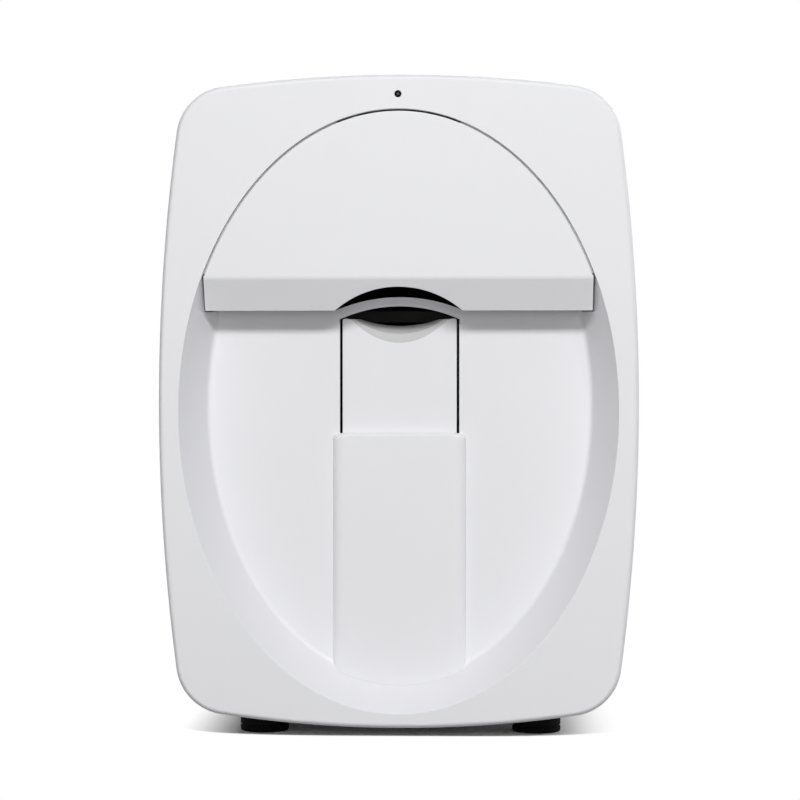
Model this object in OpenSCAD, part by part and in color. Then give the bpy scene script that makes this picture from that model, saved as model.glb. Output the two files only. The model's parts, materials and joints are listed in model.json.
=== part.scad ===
// Countertop nail art printer. A finger goes in under the arch, on a sprung lift, and an inkjet
// carriage behind the oval door prints on its nail. X runs across, Y from front to back, Z up, and
// the origin is on the table under the middle of the case.

/* [Case] */
// Width across the widest part of the bowed sides
case_w = 200; // [192:1:212]
// Height of the case without its feet
case_h = 272; // [268:1:282]
// Depth from the front face to the back face
case_d = 210; // [204:1:230]
// Height of the case above the table
foot_gap = 4.5; // [3.5:0.5:7]
// Radius of the bowed sides
side_r = 850; // [750:10:1000]
// Radius of the arched top
top_r = 568; // [500:2:650]
// Radius of the bowed bottom
bottom_r = 506; // [450:2:600]
// Radius of the four corners seen from the front
corner_r = 22; // [18:0.5:25]
// Radius of the edges round the front and back faces
edge_r = 2; // [1:0.1:2.4]
// Thickness of the case walls
case_wall = 2.5; // [2.3:0.1:3]
// Depth of the front cover's side walls
cover_depth = 24; // [23.5:0.5:28]

/* [Oval recess] */
// Width of the rim between the oval and the sides of the case
oval_side = 8.7; // [8:0.1:11]
// Mean width of the rim above and below the oval
oval_rim = 10.5; // [9.5:0.1:12.5]
// Depth of the recess floor behind the front face
recess_depth = 20; // [19:0.5:21]
// How far the recess wall slopes in at the sides
slope_side = 10; // [8.5:0.1:12]
// How far the recess wall slopes in at the top and bottom
slope_rim = 9.5; // [7.5:0.1:11.5]
// Thickness of the recess floor
floor_t = 2.2; // [1.8:0.1:2.6]

/* [Cartridge door] */
// Height of the door's crease above the middle of the oval
crease_up = 55.2; // [54:0.2:57]
// Height of the visor strip below the crease
visor_h = 13.2; // [12:0.2:14]
// How far the visor's lower edge lies behind the front face
visor_back = 7.2; // [6.4:0.2:8]
// Thickness of the door
door_t = 2.2; // [2:0.1:2.4]
// Gap round the door
seam = 0.8; // [0.7:0.05:1.1]
// How far the back of the door's edge is bevelled
door_bevel = 1; // [0.8:0.1:1.4]
// Width of the arch cut in the visor
visor_arch_w = 53.6; // [50:0.2:56]
// Height of the arch cut in the visor
visor_arch_h = 9.8; // [9:0.1:10.5]
// Radius of the door's hinge pins
hinge_pin_r = 1.2; // [1:0.1:1.3]
// Distance of each door arm from the middle
arm_x = 20; // [18:0.5:24]
// Width of each door arm
arm_w = 5; // [4:0.5:6]

/* [Finger lift] */
// Width of the slot that the lift runs in
slot_w = 50.5; // [48:0.5:52]
// Gap beside the lift in its slot
lift_gap = 1.05; // [0.6:0.05:1.4]
// Thickness of the lift's front plate
lift_t = 3; // [2.5:0.1:3.5]
// How far the lift's top lies below the door's crease
lift_drop = 16.1; // [15.6:0.1:17]
// Travel of the lift
lift_travel = 20; // [16:1:22]
// Depth of the finger rest behind the recess floor
rest_depth = 50; // [44:1:52]
// Rise of the arch over the finger opening
arch_h = 5.5; // [5:0.1:6]
// Height of the band over the finger opening
arch_band = 3.8; // [3.4:0.1:4]
// Width of the scoop in the lift's top edge
scoop_w = 41; // [38:0.5:42]
// Depth of the scoop in the lift's front plate
scoop_h = 10; // [9:0.2:10.6]
// Depth of the finger trough in the rest
trough_h = 4; // [3.4:0.1:4.6]
// Thickness of the soft pad in the trough
pad_t = 1.2; // [1:0.1:1.6]
// Radius of the lift's guide rods
lift_rod_r = 3; // [2.5:0.1:3.2]
// Distance of each lift rod from the middle
lift_rod_x = 16; // [14:0.5:16.5]

/* [Lift cover panel] */
// Width of the raised panel below the lift
panel_w = 56.3; // [55:0.1:60]
// Height of the panel's top above the table
panel_top = 127; // [120:0.5:132]
// How far the panel stands out from the recess floor
panel_out = 3.4; // [3:0.1:4]
// Thickness of the panel
panel_t = 1.8; // [1.5:0.1:2.2]

/* [Feet] */
// Radius of a foot
foot_r = 10.3; // [9:0.1:12]
// Distance of each foot from the middle
foot_x = 58; // [52:1:64]
// Distance of the front feet's middle from the front face
foot_in = 29.5; // [29:0.5:34]

/* [Back] */
// Half the width of the back panel's opening
panel_half = 70; // [64:1:74]
// Height of the back panel's lower edge above the bottom of the case
panel_low = 62; // [58:1:70]
// Distance of the back panel's upper edge below the top of the case
panel_high = 32; // [28:1:40]
// Thickness of the back panel
panel_plate_t = 1.4; // [1.2:0.1:1.6]
// Distance of the power inlet and the power switch from the middle
socket_x = 40; // [34:1:42]
// Height of the power inlet and the power switch above the bottom of the case
socket_up = 34; // [30:1:38]

/* [Printing gear] */
// Depth of the middle of the gantry's rods below the top of the case
gantry_drop = 41.5; // [41:0.5:43]
// Depth of the print nozzles below the middle of the gantry's rods
nozzle_drop = 44.5; // [43:0.5:46]
// Radius of the rods that run from front to back
y_rod_r = 4; // [3:0.1:4.2]
// Radius of the rods that run across
x_rod_r = 3; // [2.5:0.1:3.2]
// Pitch radius of the belt pulleys
pulley_r = 6; // [5.5:0.1:6.4]
// Radius of the lead screw
screw_r = 3; // [2.5:0.1:3.4]
// Width of the ink cartridge
cartridge_w = 38; // [34:0.5:39]
// Depth of the ink cartridge from front to back
cartridge_d = 40; // [36:0.5:41]
// Height of the ink cartridge
cartridge_h = 42; // [38:0.5:43]

/* [Hidden] */

fine = 48;
running = 0.05;   // radial clearance of a running fit
loose = 0.3;      // clearance between pieces that only lie beside each other
eps = 0.01;
over = 1;         // how far a cut runs past what it cuts

front_y = -case_d / 2;
back_y = case_d / 2;
case_bottom = foot_gap;
case_top = case_bottom + case_h;
case_mid = case_bottom + case_h / 2;
cover_back = front_y + cover_depth;
shell_back = back_y - case_wall;

function meet(c0, r0, c1, r1, side) =
    let (d = norm(c1 - c0), u = (c1 - c0) / d, a = (r0 * r0 - r1 * r1 + d * d) / (2 * d))
    c0 + a * u + side * sqrt(r0 * r0 - a * a) * [-u.y, u.x];
function angle_of(c, p) = atan2(p.y - c.y, p.x - c.x);
function arc(c, r, a0, a1, n) =
    [for (i = [0:n - 1]) let (a = a0 + (a1 - a0) * i / n) c + r * [cos(a), sin(a)]];

// The outline of the case: two bowed sides, an arched top and a bowed bottom, with round corners.
side_c = [case_w / 2 - side_r, case_mid];
top_c = [0, case_top - top_r];
bottom_c = [0, case_bottom + bottom_r];
corner_top = meet(side_c, side_r - corner_r, top_c, top_r - corner_r, 1);
corner_bottom = meet(side_c, side_r - corner_r, bottom_c, bottom_r - corner_r, -1);
function half_outline(inset) =
    let (ab = angle_of(bottom_c, corner_bottom), a0 = angle_of(side_c, corner_bottom),
        a1 = angle_of(side_c, corner_top), at = angle_of(top_c, corner_top))
    concat(arc(bottom_c, bottom_r - inset, -90, ab, 5),
        arc(corner_bottom, corner_r - inset, ab, a0, 7),
        arc(side_c, side_r - inset, a0, 0, 5), arc(side_c, side_r - inset, 0, a1, 5),
        arc(corner_top, corner_r - inset, a1, at, 7), arc(top_c, top_r - inset, at, 90, 5));
function outline(inset = 0) =
    let (h = half_outline(inset))
    concat(h, [[0, case_top - inset]], [for (i = [len(h) - 1:-1:1]) [-h[i].x, h[i].y]]);
function inner_half(z) =
    corner_bottom.x + sqrt(pow(corner_r - case_wall, 2) - pow(corner_bottom.y - z, 2));
function bottom_at(x) = bottom_c.y - sqrt(pow(bottom_r, 2) - pow(x, 2));

// An oval's points, its half width at a height above its middle, and an arch's radius.
function oval(a, b, z, n = 88) = [for (i = [0:n - 1]) [a * cos(360 * i / n), z + b * sin(360 * i / n)]];
function oval_half(a, b, up) = a * sqrt(1 - pow(up / b, 2));
function arch_r(w, h) = (w * w / 4 + h * h) / (2 * h);
function ring(points, y) = [for (p = points) [p.x, y, p.y]];

// The recess and the door.
oval_drop = 4.1;   // how far the oval's middle lies below the middle of the case
floor_rise = 2.2;  // how far the recess floor's own oval lies above that
oval_a = case_w / 2 - oval_side;
oval_b = case_h / 2 - oval_rim;
oval_z = case_mid - oval_drop;
floor_y = front_y + recess_depth;
crease_z = oval_z + crease_up;
visor_z = crease_z - visor_h;
visor_half = oval_half(oval_a, oval_b, crease_up) - seam;
floor_edge = visor_z + 2 * loose;
notch_half = visor_half + seam;
bowl_wall = 2.6;
pin_y = front_y + 5.6;
pin_z = oval_z + oval_b + 7;
hub_r = hinge_pin_r + 1.3;
arm_back = 15;
arm_low = 24;
arm_t = 3.6;
arm_top_t = 4;
arm_foot_t = 1.6;
arm_foot_h = 11;
ear_t = 2;
ear_x = arm_w / 2 + loose;
ear_h = 5.6;
pin_head_t = 0.8;

// The finger lift, its slot and its panel.
lift_top = crease_z - lift_drop;
lift_w = slot_w - 2 * lift_gap;
lift_corner_r = 1;
lift_y = floor_y + loose;
rest_back = floor_y + rest_depth;
rest_h = 16;
plate_low = lift_top - 74;
slot_top = lift_top - loose;
slot_low = panel_top - lift_travel - 32;
trough_w = lift_w - 7;
pad_in = 12;
scoop_tilt = 60;   // the scoop's steep front
seat_w = 40;       // and the flatter seat behind it
seat_h = 7.6;
seat_tilt = 25;
lift_rod_y = floor_y + 26;
sleeve_r = lift_rod_r + 3;
sleeve_low = lift_top - 62;
bush_t = 1.2;
bush_h = 16;
rod_top = sleeve_low + bush_h + 6;
peg_x = (slot_w + panel_w) / 4;
peg_z = panel_top - 20;
peg_r = 1;
hollow_low = case_bottom + 38;
hollow_in = 2.2;
panel_corner_r = 2.4;
chamber_gap = 0.5;
chamber_t = 2;
chamber_flange = 12;
chamber_back = rest_back + 3;
chamber_low = lift_top - 26;
chamber_top = lift_top + 5;

// The indicator.
light_r = 1.3;
light_head_r = 2.2;
light_z = case_top - 8.4;
board_gap = 6;
board_t = 1.2;
light_board_w = 16;
light_board_h = 7.5;
light_post_w = 2.5;

// The feet and the back.
base_z = case_bottom + 13;
foot_front_y = front_y + foot_in;
foot_back_y = back_y - foot_in;
foot_post_r = 5;
foot_hole_r = 1.8;
foot_head_r = 3.4;
foot_head_z = 1;
foot_head_h = 2;
foot_chamfer = 1;
panel_z0 = case_bottom + panel_low;
panel_z1 = case_top - panel_high;
panel_y = back_y - panel_plate_t;
ledge_w = 3.5;
panel_screw_in = 6;
panel_screw_r = 1.5;
panel_screw_l = 7;
panel_head_r = 3;
panel_head_t = 0.8;
boss_r = 4.5;
boss_l = 8;
slit_w = 3;
slit_h = 34;
slit_pitch = 9;
slit_in = 28;
vent_w = 3;
vent_l = 30;
vent_pitch = 7;
vent_in = 32;
filter_t = 2;
filter_in = 14;
pocket_deep = 2;
pocket_half = 56;
pocket_h = 22;
pocket_rim = 2;
socket_z = case_bottom + socket_up;
socket_y = back_y - pocket_deep;
socket_l = 14;
flange_t = 0.8;
flange_h = 16;
inlet_w = 14;
inlet_h = 12;
inlet_flange_w = 18;
inlet_r = 3.2;
inlet_deep = 9;
switch_w = 20;
switch_h = 14;
switch_flange_w = 22;
switch_hole_w = 15;
switch_hole_h = 10.8;
switch_deep = 8;
rocker_w = 14.4;
rocker_h = 4.8;
rocker_tilt = 7;
rocker_y = socket_y - 3.2;
rocker_pin_x = 8.6;
rocker_pin_r = 1;

// The chassis.
plate_t = 2;
plate_x = inner_half(base_z) - loose - plate_t;
plate_in = 25;
plate_y0 = front_y + plate_in;
plate_y1 = back_y - plate_in;
plate_z1 = case_top - 28;
floor_z1 = base_z + plate_t;
plate_hole_r = 18;
plate_hole_in = 28;
plate_hole_z = [floor_z1 + 40, floor_z1 + 120];
window_in = 28;
window_half = 12;
window_end = 40;
guide_h = 20;
guide_top = floor_z1 + guide_h;
guide_side = 9;
guide_web_side = 7;
guide_web = 6;
guide_sink = 2;
spring_t = 1.2;
spring_gap = 0.8;

// The gantry.
gantry_z = case_top - gantry_drop;
screw_z = gantry_z + 17;
gantry_y0 = floor_y + 48;
gantry_y1 = gantry_y0 + 30.5;
block_w = 16;
block_h = 16;
beam_t = 4;
y_rod_x = plate_x - 11;
y_bush_t = 2;
block_x = y_rod_x - block_w / 2;
x_rod_y0 = gantry_y0 + 5.5;
x_rod_y1 = gantry_y0 + 15;
x_bush_t = 1.2;
x_bush_l = 8;
nut_plate_w = 20;
nut_wall = 1.5;
nut_r = 8;
nut_flange_t = 2;
nut_l = 10;
x_motor_r = 11.5;
x_motor_l = 20;
shaft_r = 1.5;
pulley_x = block_x - 10;
belt_w = 3;
belt_t = 1;
belt_y = gantry_y1 - beam_t - 3;
belt_front = belt_y - belt_w / 2;
belt_back = belt_y + belt_w / 2;
pulley_gap = 0.2;
pulley_rim = 0.6;
pin_cap_t = 0.3;

// The rear motor and the front brackets.
crossbar_t = 3;
crossbar_y = shell_back - 52.5;
motor_w = 28;
motor_l = 32;
motor_chamfer = 5;
motor_shaft_r = 2.5;
motor_shaft_l = 8;
shaft_hole_r = 4;
coupler_r = 6;
coupler_l = 14.5;
screw_in = 0.5;
bracket_t = 8;
bracket_y = gantry_y0 - 22;
bracket_sink = 2;

// The carriage.
carriage_x = cartridge_w / 2 + 3;
carriage_y1 = belt_front - 1.5;
carriage_up = 6;
carriage_down = 7;
nozzle_z = gantry_z - nozzle_drop;
nose_h = 6.5;
nose_half = 10;
nose_l = 20;
nose_in = 8;
nose_gap = 2;
nozzle_t = 0.8;
nozzle_side = 1;
cartridge_z = nozzle_z + nose_h;
cartridge_y1 = gantry_y0 - 0.5;
cartridge_y0 = cartridge_y1 - cartridge_d;
cradle_wall = 1.5;
cradle_t = 3;
cradle_y0 = cartridge_y0 - cradle_wall;
cradle_top = cartridge_z + cartridge_h - 2;
clamp_w = 10;
clamp_h = 5.5;
rib_w = 3;
rib_y = 4;
rib_z = 2;
rib_h = 18;
latch_w = 28;
latch_y = gantry_y0 - 3;
latch_z = cradle_top + 6.5;
latch_r = 2.6;
latch_t = 1.6;
latch_lip = 9;
latch_pin_r = 1.2;
lug_gap = 0.4;
lug_t = 2.4;
lug_side = 3;
lug_low = 2.3;
camera_w = 9;
camera_l = 10;
camera_board_t = 2;
camera_r = 3.2;
camera_h = 4;
lens_r = 2.2;
lens_l = 1.2;
lamp_w = 7;
lamp_l = 12;
lamp_t = 1.6;
lamp_cap = 3;
lamp_cap_t = 1;
lamp_pitch = 5.5;

// The main board.
main_w = 100;
main_l = 82;
main_t = 1.6;
main_back = crossbar_y + 22;
main_z = floor_z1 + 6;
standoff_r = 2.5;
standoff_in = 5;
chip_w = 20;
chip_h = 2.4;
power_w = 24;
power_h = 8.4;
power_l = 20;
plug_w = 8;
plug_l = 6;
plug_h = 6.4;
plug_pitch = 11;
can_r = 4;
can_h = 12.4;
can_pitch = 11;

// A solid through rings of points, listed from front to back.
module skin(rings) {
    n = len(rings[0]);
    m = len(rings);
    polyhedron(points = [for (r = rings) each r],
        faces = concat([[for (i = [n - 1:-1:0]) i], [for (i = [0:n - 1]) (m - 1) * n + i]],
            [for (k = [0:m - 2], i = [0:n - 1]) let (j = (i + 1) % n)
                [k * n + i, k * n + j, (k + 1) * n + j]],
            [for (k = [0:m - 2], i = [0:n - 1]) let (j = (i + 1) % n)
                [k * n + i, (k + 1) * n + j, (k + 1) * n + i]]));
}
// A flat drawing in X and Z, stretched from y0 to y1.
module along_y(y0, y1) translate([0, y1, 0]) rotate([90, 0, 0]) linear_extrude(y1 - y0) children();
// A flat drawing in Y and Z, stretched from x0 to x1.
module along_x(x0, x1) translate([x0, 0, 0]) rotate([90, 0, 90]) linear_extrude(x1 - x0) children();
module box(x0, x1, y0, y1, z0, z1) translate([x0, y0, z0]) cube([x1 - x0, y1 - y0, z1 - z0]);
// A box that is as far to the left of the middle as to the right.
module slab(half, y0, y1, z0, z1) box(-half, half, y0, y1, z0, z1);
module rod_x(x0, x1, y, z, r) translate([x0, y, z]) rotate([0, 90, 0]) cylinder(h = x1 - x0, r = r, $fn = fine);
module rod_y(x, y0, y1, z, r) translate([x, y1, z]) rotate([90, 0, 0]) cylinder(h = y1 - y0, r = r, $fn = fine);
module rod_z(x, y, z0, z1, r) translate([x, y, z0]) cylinder(h = z1 - z0, r = r, $fn = fine);
module both() {
    children();
    mirror([1, 0, 0]) children();
}

// ---------------------------------------------------------------- case
function case_rings(y0, y1, round0, round1, n = 3) =
    concat([for (i = [0:n]) let (t = 90 * i / n)
            ring(outline(round0 * (1 - sin(t))), y0 + round0 * (1 - cos(t)))],
        [for (i = [n:-1:0]) let (t = 90 * i / n)
            ring(outline(round1 * (1 - sin(t))), y1 - round1 * (1 - cos(t)))]);

// The oval at a depth behind the front face, pushed outwards by grow.
function bowl_ring(depth, grow = 0) =
    let (k = depth / recess_depth)
    ring(oval(oval_a - slope_side * k + grow, oval_b - slope_rim * k + grow, oval_z + floor_rise * k),
        front_y + depth);

module arch_shape(w, h, z0) {
    r = arch_r(w, h);
    intersection() {
        translate([0, z0 + h - r]) circle(r = r, $fn = 160);
        translate([-w / 2, z0 - w / 2]) square([w, w / 2 + h]);
    }
}
module door_opening() along_y(front_y - over, cover_back) intersection() {
    polygon(oval(oval_a, oval_b, oval_z));
    translate([-oval_a, crease_z]) square([2 * oval_a, 2 * oval_b]);
}

module front_cover() color([0.9, 0.9, 0.91]) difference() {
    union() {
        difference() {
            skin(case_rings(front_y, cover_back, edge_r, 0));
            along_y(front_y + case_wall, cover_back + over) polygon(outline(case_wall));
        }
        intersection() {
            skin([bowl_ring(1, bowl_wall), bowl_ring(recess_depth + floor_t, bowl_wall)]);
            slab(case_w / 2, front_y, cover_back, 0, crease_z + 2);
        }
    }
    skin([bowl_ring(-1), bowl_ring(recess_depth)]);
    door_opening();
    slab(notch_half, front_y - over, floor_y - 1, visor_z - loose, crease_z + eps);
    difference() {
        slab(notch_half, floor_y - 2, cover_back, floor_edge, crease_z + 3);
        along_y(floor_y, floor_y + floor_t)
            arch_shape(visor_arch_w, slot_top + arch_h + arch_band - floor_edge, floor_edge);
    }
    along_y(floor_y - over, floor_y + floor_t + over) {
        arch_shape(slot_w, arch_h, slot_top);
        translate([-slot_w / 2, slot_low]) square([slot_w, slot_top - slot_low]);
    }
    both() rod_y(peg_x, floor_y - over, cover_back, peg_z, peg_r + running);
    rod_y(0, front_y - over, front_y + case_wall + over, light_z, light_r + loose / 2);
}

// The panel's lower end follows the sloping wall of the recess.
module lift_cover_panel() color([0.89, 0.89, 0.91]) {
    face_y = floor_y - panel_out;
    difference() {
        intersection() {
            along_y(face_y, floor_y) polygon(panel_outline(0));
            skin([bowl_ring(0, -loose), bowl_ring(recess_depth, -loose)]);
        }
        along_y(face_y + panel_t, floor_y + over) intersection() {
            polygon(panel_outline(hollow_in));
            translate([-slot_w / 2, hollow_low]) square([slot_w, panel_top]);
        }
    }
    both() rod_y(peg_x, floor_y - panel_t, floor_y + floor_t, peg_z, peg_r);
}
function panel_outline(inset) =
    let (w = panel_w / 2 - inset, t = panel_top - inset, r = panel_corner_r)
    concat([[-w, case_bottom], [w, case_bottom]], arc([w - r, t - r], r, 0, 90, 4), [[w - r, t]],
        arc([r - w, t - r], r, 90, 180, 4), [[-w, t - r]]);

module feet_places()
    for (x = [-foot_x, foot_x], y = [foot_front_y, foot_back_y]) translate([x, y, 0]) children();
module panel_screw_places()
    for (x = [-1, 1], z = [panel_z0 + panel_screw_in, panel_z1 - panel_screw_in])
        translate([x * (panel_half - panel_screw_in), 0, z]) children();
module screw_bosses() panel_screw_places() rod_y(0, shell_back - boss_l, panel_y, 0, boss_r);

module rear_housing() color([0.88, 0.88, 0.9]) difference() {
    union() {
        difference() {
            skin(case_rings(cover_back, back_y, 0, edge_r));
            along_y(cover_back - over, shell_back) polygon(outline(case_wall));
        }
        feet_places() rod_z(0, 0, bottom_at(foot_x + foot_post_r) + loose, base_z, foot_post_r);
        screw_bosses();
        slab(pocket_half + pocket_rim, socket_y - case_wall, back_y - 1,
            socket_z - pocket_h / 2 - pocket_rim, socket_z + pocket_h / 2 + pocket_rim);
    }
    difference() {
        slab(panel_half, shell_back - over, back_y + over, panel_z0, panel_z1);
        difference() {
            slab(panel_half, shell_back - over, panel_y, panel_z0, panel_z1);
            slab(panel_half - ledge_w, shell_back - 2 * over, back_y,
                panel_z0 + ledge_w, panel_z1 - ledge_w);
        }
        screw_bosses();
    }
    panel_screw_places() rod_y(0, shell_back - panel_screw_l, back_y, 0, panel_screw_r + running);
    slab(pocket_half, socket_y, back_y + over, socket_z - pocket_h / 2, socket_z + pocket_h / 2);
    translate([-socket_x, 0, socket_z])
        slab(inlet_w / 2, socket_y - 2 * case_wall, back_y + over, -inlet_h / 2, inlet_h / 2);
    translate([socket_x, 0, socket_z])
        slab(switch_w / 2, socket_y - 2 * case_wall, back_y + over, -switch_h / 2, switch_h / 2);
    feet_places() rod_z(0, 0, 0, base_z + over, foot_hole_r);
    for (i = [-6:6]) translate([i * vent_pitch, 0, 0])
        slab(vent_w / 2, back_y - vent_in - vent_l, back_y - vent_in, 0, case_bottom + 2 * case_wall + 0.5);
}

// The back panel lies flush in the rear opening, on a ledge.
module back_panel() color([0.87, 0.87, 0.89]) difference() {
    slab(panel_half - loose, panel_y, back_y, panel_z0 + loose, panel_z1 - loose);
    for (i = [-5:5], z = [panel_z0 + slit_in, panel_z1 - slit_in - slit_h]) translate([i * slit_pitch, 0, 0])
        slab(slit_w / 2, panel_y - over, back_y + over, z, z + slit_h);
    panel_screw_places() {
        rod_y(0, panel_y - over, back_y + over, 0, panel_screw_r + 0.2);
        rod_y(0, back_y - panel_head_t - 0.1, back_y + over, 0, panel_head_r + 0.2);
    }
}
module dust_filter() color([0.1, 0.1, 0.11])
    slab(panel_half - filter_in, panel_y - filter_t, panel_y, panel_z0 + filter_in, panel_z1 - filter_in);

module panel_screws() color([0.3, 0.3, 0.32]) panel_screw_places() difference() {
    union() {
        rod_y(0, shell_back - panel_screw_l, back_y - 0.5, 0, panel_screw_r);
        rod_y(0, back_y - panel_head_t - 0.1, back_y - 0.1, 0, panel_head_r);
    }
    slab(2, back_y - 0.5, back_y + over, -0.3, 0.3);
    slab(0.3, back_y - 0.5, back_y + over, -2, 2);
}

// The feet's tops follow the bowed bottom.
module rubber_feet() color([0.06, 0.06, 0.07]) difference() {
    feet_places() union() {
        rod_z(0, 0, foot_chamfer, bottom_at(foot_x + foot_r), foot_r);
        cylinder(h = foot_chamfer, r1 = foot_r - foot_chamfer, r2 = foot_r, $fn = fine);
    }
    translate([0, back_y, bottom_c.y]) rotate([90, 0, 0]) cylinder(h = case_d, r = bottom_r, $fn = 720);
    feet_places() {
        rod_z(0, 0, -over, base_z, foot_hole_r);
        rod_z(0, 0, -over, foot_head_z + foot_head_h, foot_head_r + 0.2);
    }
}
module foot_screws() color([0.65, 0.66, 0.68]) feet_places() {
    rod_z(0, 0, foot_head_z + foot_head_h - 0.1, floor_z1 + plate_t, foot_hole_r - 0.1);
    difference() {
        rod_z(0, 0, foot_head_z, foot_head_z + foot_head_h, foot_head_r);
        slab(2.6, -0.4, 0.4, 0, foot_head_z + 0.8);
    }
}

// ---------------------------------------------------------------- indicator
module status_light() color([0.12, 0.12, 0.13]) {
    rod_y(0, front_y + 0.1, front_y + case_wall, light_z, light_r);
    rod_y(0, front_y + case_wall, front_y + board_gap, light_z, light_head_r);
}
module status_light_board() color([0.1, 0.35, 0.2]) {
    low = light_z - light_board_h + 3.5;
    slab(light_board_w / 2, front_y + board_gap, front_y + board_gap + board_t, low, low + light_board_h);
    both() translate([light_board_w / 2 - 3, 0, light_z])
        box(0, light_post_w, front_y + case_wall, front_y + board_gap, -3, 3);
}

// ---------------------------------------------------------------- door
module cartridge_door() color([0.91, 0.91, 0.91]) {
    a = oval_a - seam;
    b = oval_b - seam;
    visor_end = visor_half - 0.2;
    tip_y = front_y + visor_back;
    difference() {
        union() {
            intersection() {
                skin([ring(oval(a, b, oval_z), front_y),
                    ring(oval(a - door_bevel, b - door_bevel, oval_z), front_y + door_t)]);
                slab(case_w, front_y - over, front_y + door_t, crease_z, case_top);
            }
            along_x(-visor_end, visor_end) polygon([[front_y, crease_z], [tip_y, visor_z], [tip_y + 2, visor_z],
                [tip_y + 2, visor_z + 1.5], [front_y + door_t, crease_z - 1.2],
                [front_y + door_t, crease_z + 0.4], [front_y, crease_z + 0.4]]);
            both() along_x(visor_end - 2, visor_end) polygon([[front_y, crease_z], [tip_y, visor_z],
                [tip_y + 2, visor_z], [tip_y + 2, crease_z - 1], [front_y + 2, crease_z]]);
        }
        along_y(front_y - over, tip_y + 2 + over) {
            arch_shape(visor_arch_w, visor_arch_h, visor_z - eps);
            translate([-visor_arch_w / 2, visor_z - over]) square([visor_arch_w, over]);
        }
    }
}

module arm_places() for (s = [-1, 1]) translate([s * arm_x, pin_y, pin_z]) children();

// Each arm hooks back round the edge of the opening, so that the door's top can swing out past it.
module door_hinge_arms() color([0.85, 0.85, 0.86]) arm_places() difference() {
    door_back = front_y + door_t - pin_y;
    union() {
        rod_x(-arm_w / 2, arm_w / 2, 0, 0, hub_r);
        slab(arm_w / 2, 0, arm_back, -arm_top_t / 2, arm_top_t / 2);
        slab(arm_w / 2, arm_back - arm_t, arm_back, -arm_low, arm_top_t / 2);
        slab(arm_w / 2, door_back, arm_back, -arm_low, arm_t - arm_low);
        slab(arm_w, door_back, door_back + arm_foot_t, -arm_low - 5, arm_foot_h - 5 - arm_low);
    }
    rod_x(-arm_w, arm_w, 0, 0, hinge_pin_r + running);
}
module door_hinge_brackets() color([0.7, 0.71, 0.73]) arm_places() difference() {
    union() for (x = [-ear_x - ear_t, ear_x])
        box(x, x + ear_t, front_y + case_wall - pin_y, hub_r + 0.6, -3, ear_h - 3);
    rod_x(-arm_w * 2, arm_w * 2, 0, 0, hinge_pin_r + running);
}
module door_hinge_pins() color([0.75, 0.76, 0.78]) arm_places() {
    rod_x(-ear_x - ear_t, ear_x + ear_t, 0, 0, hinge_pin_r);
    rod_x(ear_x + ear_t, ear_x + ear_t + pin_head_t, 0, 0, hinge_pin_r + pin_head_t);
}

// ---------------------------------------------------------------- finger lift
module trough_shape(sink) {
    r = arch_r(trough_w, trough_h);
    translate([0, lift_top - trough_h + r - sink]) circle(r = r, $fn = 160);
}
module lift_rod_places() for (x = [-lift_rod_x, lift_rod_x]) translate([x, lift_rod_y, 0]) children();

// The scoop slants up from the front of the lift to the trough, in a steep and a flatter part.
module slanted_cut(w, h, tilt) {
    r = arch_r(w, h * cos(tilt));
    translate([0, lift_y, lift_top - h + r / cos(tilt)]) rotate([90 + tilt, 0, 0])
        cylinder(h = 6 * w, r = r, center = true, $fn = 120);
}
module scoop_cut() {
    slanted_cut(scoop_w, scoop_h, scoop_tilt);
    slanted_cut(seat_w, seat_h, seat_tilt);
}
// The lift seen from the front, down to a height, with round top corners.
module lift_shape(low) {
    x = lift_w / 2 - lift_corner_r;
    z = lift_top - lift_corner_r;
    polygon(concat([[-lift_w / 2, low], [lift_w / 2, low]], arc([x, z], lift_corner_r, 0, 90, 4),
        [[x, lift_top]], arc([-x, z], lift_corner_r, 90, 180, 4), [[-lift_w / 2, z]]));
}
module finger_lift() color([0.9, 0.9, 0.92]) difference() {
    union() {
        along_y(lift_y, lift_y + lift_t) lift_shape(plate_low);
        along_y(lift_y, rest_back) lift_shape(lift_top - rest_h);
        lift_rod_places() rod_z(0, 0, sleeve_low, lift_top - rest_h + 1, sleeve_r);
    }
    along_y(lift_y - over, rest_back + over) trough_shape(0);
    along_y(lift_y + pad_in, rest_back + over) trough_shape(pad_t);
    scoop_cut();
    lift_rod_places() rod_z(0, 0, sleeve_low - over, lift_top - rest_h - 0.5, lift_rod_r + bush_t);
}
module finger_pad() color([0.2, 0.2, 0.21]) difference() {
    along_y(lift_y + pad_in, rest_back) intersection() {
        trough_shape(pad_t);
        translate([-trough_w / 2, lift_top - trough_h - pad_t]) square([trough_w, trough_h]);
    }
    along_y(lift_y, rest_back + over) trough_shape(0);
    scoop_cut();
}
module lift_bushings() color([0.72, 0.55, 0.25]) lift_rod_places() difference() {
    rod_z(0, 0, sleeve_low, sleeve_low + bush_h, lift_rod_r + bush_t);
    rod_z(0, 0, sleeve_low - over, sleeve_low + bush_h + over, lift_rod_r + running);
}
module lift_guide_rods() color([0.75, 0.76, 0.78])
    lift_rod_places() rod_z(0, 0, floor_z1 + guide_sink, rod_top, lift_rod_r);
module lift_guide_base() color([0.3, 0.31, 0.33]) difference() {
    slab(lift_rod_x + guide_side, lift_rod_y - guide_side, lift_rod_y + guide_side, floor_z1, guide_top);
    lift_rod_places() rod_z(0, 0, floor_z1 + guide_sink, guide_top + over, lift_rod_r);
    slab(lift_rod_x - guide_web_side, lift_rod_y - guide_side - over, lift_rod_y + guide_side + over,
        floor_z1 + guide_web, guide_top + over);
}
module lift_return_springs() color([0.6, 0.61, 0.63]) lift_rod_places() difference() {
    rod_z(0, 0, guide_top, sleeve_low - loose, lift_rod_r + spring_gap + spring_t);
    rod_z(0, 0, guide_top - over, sleeve_low + over, lift_rod_r + spring_gap);
}

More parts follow.
